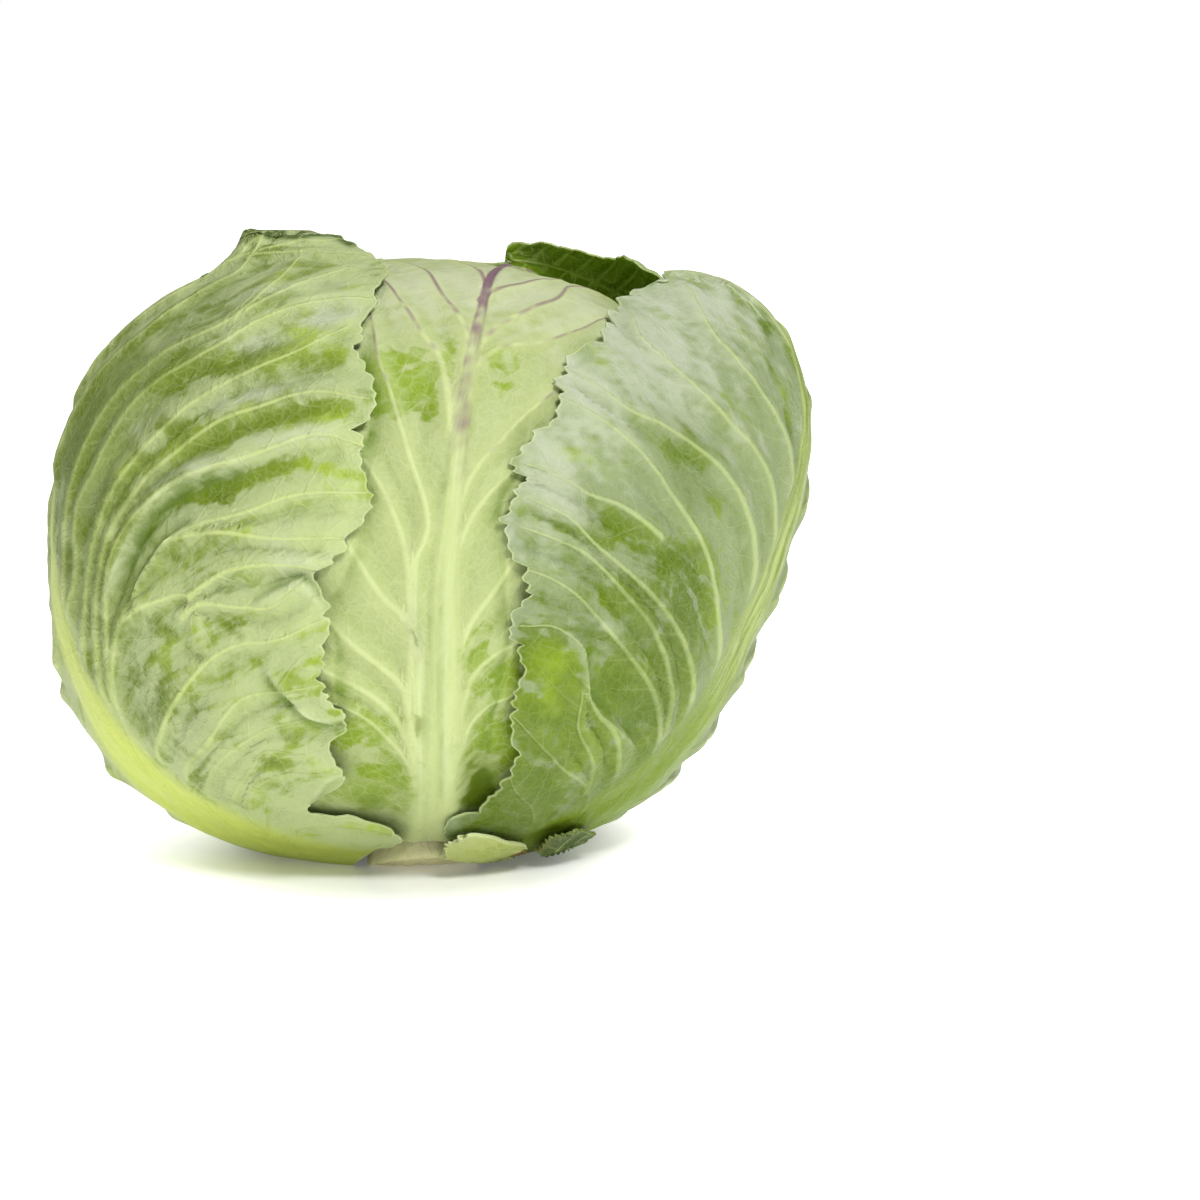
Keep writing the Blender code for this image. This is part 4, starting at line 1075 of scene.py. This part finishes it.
backLook = {
    **outerLook, "green": (0.20, 0.30, 0.04), "greenDeep": (0.11, 0.18, 0.02), "bloom": (0.30, 0.36, 0.19),
    "vein": (0.38, 0.46, 0.16), "inner": (0.15, 0.25, 0.012), "dark": (0.155, 0.26, 0.008),
    "halo": (0.42, 0.56, 0.12), "darkOutside": 0.3,
}
wrappedLook = {
    **outerLook, "green": (0.19, 0.28, 0.012), "greenDeep": (0.155, 0.232, 0.010),
    "bloom": (0.355, 0.40, 0.195), "underVeinShadeShare": 0.5, "creaseShadeColour": (0.10, 0.175, 0.008), "bloomEdge": 0.36,
    "bareGain": 1.4, "bloomShare": 0.95, "pale": (0.46, 0.49, 0.32), "net": (0.46, 0.52, 0.25),
    "netShare": 0.15, "vein": (0.49, 0.55, 0.26), "veinShare": 0.65, "halo": (0.44, 0.51, 0.21),
    "haloShare": 0.25, "rib": (0.51, 0.56, 0.31), "ribDeep": (0.36, 0.44, 0.15),
    "ribFoot": (0.52, 0.57, 0.29), "ribSpread": 1.1, "ribShare": 0.65, "inner": (0.38, 0.45, 0.15),
    "dark": (0.09, 0.14, 0.008), "rim": (0.52, 0.57, 0.34), "rimShare": 0.5, "purple": (0.15, 0.07, 0.11),
    "roughness": 0.36, "bump": 0.5, "glow": 0.2,
}
stubLook = {
    **wrappedLook, "green": (0.30, 0.38, 0.03), "greenDeep": (0.22, 0.29, 0.02), "bloom": (0.48, 0.52, 0.18),
    "bloomEdge": 0.2, "rib": (0.50, 0.54, 0.20), "ribFoot": (0.50, 0.54, 0.20), "ribDeep": (0.36, 0.42, 0.08),
    "brown": (0.16, 0.10, 0.02), "ribShare": 0.5, "bump": 0.8,
}
scrapLook = {
    **outerLook, "green": (0.10, 0.16, 0.02), "greenDeep": (0.05, 0.09, 0.01), "bloom": (0.16, 0.22, 0.07),
    "rim": (0.30, 0.36, 0.12), "inner": (0.09, 0.14, 0.02), "rib": (0.20, 0.28, 0.05),
    "ribFoot": (0.20, 0.28, 0.05), "ribDeep": (0.10, 0.16, 0.02),
}
stemLook = {
    "flesh": (0.86, 0.82, 0.46), "fleshDeep": (0.76, 0.76, 0.34), "pith": (0.88, 0.83, 0.52),
    "brown": (0.30, 0.20, 0.07), "roughness": 0.45,
}
heartLook = {
    "green": (0.46, 0.56, 0.17), "pale": (0.60, 0.68, 0.34), "vein": (0.68, 0.75, 0.42), "roughness": 0.38,
}


def stemFinish(look):
    f = Finish("stem_flesh")
    cloud, fine = f.noise(7, 4, 0.6, 0.5), f.noise(0.9, 3, 0.6)
    fibre = f.noise(2.2, 4, 0.65, 0.3, stretch=(1, 1, 0.15))
    cut, level = f.mark("cutFace"), f.mark("level")
    colour = f.mix(cloud.step(0.35, 0.65), look["flesh"], look["fleshDeep"])
    colour = f.mix(cut * 0.8, colour, look["pith"])
    ring = (1 - (cut - 0.45).size().step(0.0, 0.3)) * level.step(0.9, 1.0)
    colour = f.mix((fibre.step(0.55, 0.8) * 0.15 + ring * 0.2).least(1.0), colour, look["brown"])
    f.feed(f.main.inputs["Base Color"], colour)
    f.feed(f.main.inputs["Roughness"], look["roughness"] + fine * 0.2)
    f.bump(fibre * 0.6 + fine * 0.2 + cloud * 0.3)
    return f.material


def heartFinish(look):
    f = Finish("heart_leaf")
    cloud, fine = f.noise(30, 4, 0.6, 0.5), f.noise(1.5, 3, 0.6)
    net = f.net(13, 16.0)
    colour = f.mix(cloud.step(0.35, 0.65), look["green"], look["pale"])
    line = (1 - net.step(0.0, 0.07)) * cloud.step(0.4, 0.6)
    colour = f.mix(line * 0.35, colour, look["vein"])
    f.feed(f.main.inputs["Base Color"], colour)
    f.feed(f.main.inputs["Roughness"], look["roughness"] + fine * 0.14)
    f.bump(line * 0.12 + fine * 0.08 + cloud * 0.5)
    return f.material


studio = {
    "surround": 0.27, "seen": 1.0, "floor": (0.9, 0.9, 0.88), "floorDust": (0.8865, 0.8865, 0.8668),
    "floorSize": 6.0, "floorCells": 12, "paintedShadowGlow": 0.1, "glowFar": 0.98,
    "footAt": (-8.0, -42.0, 0.0), "footReach": (32, 90), "middleReach": (22, 66),
    "lights": {
        "key": {"place": (0.5, -0.95, 1.28), "aim": (0, 0, 0.07), "size": 0.5, "power": 23.0},
        "fill": {"place": (-1.1, -1.2, 0.5), "aim": (0, 0, 0.07), "size": 0.9, "power": 1.2},
        "low": {"place": (0.06, -0.7, 0.015), "aim": (-0.01, 0, 0.02), "size": 0.3, "power": 0.9},
        "top": {"place": (0.1, 0.35, 1.4), "aim": (0, 0, 0.08), "size": 1.2, "power": 7.0},
    },
}
view = {"target": (0.0478, 0.0, 0.066), "height": 9.0, "away": 1.2, "wide": 0.342857}


def makeFloor():  # the floor glows white, and its glow is lowered under the head as a painted soft shadow
    f = Finish("studio_floor")
    f.feed(f.main.inputs["Base Color"], f.mix(f.noise(300, 2), studio["floor"], studio["floorDust"]))
    f.feed(f.main.inputs["Roughness"], 0.2 + 0.06 * f.noise(60, 3))
    away = f.add("VectorMath", {"operation": "DISTANCE"}, {0: f.place, 1: studio["footAt"]}, "Value")
    middle = f.add("VectorMath", {"operation": "LENGTH"}, {0: f.place}, "Value")
    # painted shadow: the glow drops towards the foot and the head's middle
    far = away.step(*studio["footReach"]) * middle.step(*studio["middleReach"])
    f.feed(f.main.inputs["Emission Color"], f.mix(far, (studio["paintedShadowGlow"],) * 3, (studio["glowFar"],) * 3))
    f.main.inputs["Emission Strength"].default_value = 1.0
    f.main.inputs["Specular IOR Level"].default_value = 0.35
    mesh = bpy.data.meshes.new("studio_floor")
    count, half = studio["floorCells"], studio["floorSize"] / 2
    steps = np.linspace(-half, half, count + 1)
    corners = [j * (count + 1) + i for j in range(count) for i in range(count)]
    faces = [(k, k + 1, k + count + 2, k + count + 1) for k in corners]
    mesh.from_pydata([(x, y, 0.0) for y in steps for x in steps], [], faces)
    mesh.materials.append(f.material)
    floor = bpy.data.objects.new("studio_floor", mesh)
    bpy.context.scene.collection.objects.link(floor)


def makeLight(name, place, aim, size, power):
    data = bpy.data.lights.new(name, "AREA")
    data.shape, data.size, data.energy = "DISK", size, power
    light = bpy.data.objects.new(name, data)
    light.location = place
    light.rotation_euler = (Vector(aim) - Vector(place)).to_track_quat("-Z", "Y").to_euler()
    bpy.context.scene.collection.objects.link(light)


def makeStudio():
    scene = bpy.context.scene
    world = bpy.data.worlds.new("studio")
    world.use_nodes = True
    tree = world.node_tree
    rays = tree.nodes.new("ShaderNodeLightPath")
    power = tree.nodes.new("ShaderNodeMapRange")
    power.inputs["To Min"].default_value = studio["surround"]
    power.inputs["To Max"].default_value = studio["seen"]
    tree.links.new(rays.outputs["Is Camera Ray"], power.inputs["Value"])
    shade = tree.nodes["Background"]
    shade.inputs["Color"].default_value = (1, 1, 1, 1)
    tree.links.new(power.outputs["Result"], shade.inputs["Strength"])
    scene.world = world
    scene.view_settings.view_transform = "Standard"
    makeFloor()
    for name, values in studio["lights"].items():
        makeLight(name, **values)
    print("studio made")


def makeCamera():
    data = bpy.data.cameras.new("camera")
    data.sensor_width = 36.0
    data.lens = 36.0 * view["away"] / view["wide"]
    camera = bpy.data.objects.new("camera", data)
    rise = math.radians(view["height"])
    target = Vector(view["target"])
    camera.location = target + view["away"] * Vector((0, -math.cos(rise), math.sin(rise)))
    camera.rotation_euler = (target - camera.location).to_track_quat("-Z", "Y").to_euler()
    bpy.context.scene.collection.objects.link(camera)
    bpy.context.scene.camera = camera


leafLooks = {
    "outer_leaf_left": outerLook, "outer_leaf_right": rightLook, "outer_leaf_back": backLook,
    "wrapped_leaf": wrappedLook, "stub_leaf": stubLook, "scrap_leaf": scrapLook,
}
smallGrid = 60
leafPieces = (
    ("leaf_rear", leafRear, (92, 126), "wrapped_leaf", "wrapped_leaf"),
    ("leaf_front", leafFront, (184, 252), "wrapped_leaf", "wrapped_leaf"),
    ("leaf_left", leafLeft, (184, 252), "outer_leaf_left", "outer_leaf"),
    ("leaf_right", leafRight, (184, 252), "outer_leaf_right", "outer_leaf"),
    ("leaf_back", leafBack, (184, 252), "outer_leaf_back", "outer_leaf"),
    ("leaf_stub", leafStub, (60, 24), "stub_leaf", "stem"),
    ("leaf_scrap", leafScrap, (48, 32), "scrap_leaf", "torn_leaf"),
)


def main():
    makeCamera()
    makeStudio()
    finishes = {name: leafFinish(name, look) for name, look in leafLooks.items()}
    print("finishes made")
    makeHeart(heartFinish(heartLook))
    makeStem(stemFinish(stemLook))
    fine = 1.0
    for node, leaf, grid, finish, slot in leafPieces:
        columns, rows = (int(count * fine) for count in grid) if min(grid) > smallGrid else grid
        makeLeaf(node, leaf, columns, rows, finishes[finish])
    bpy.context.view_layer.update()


main()
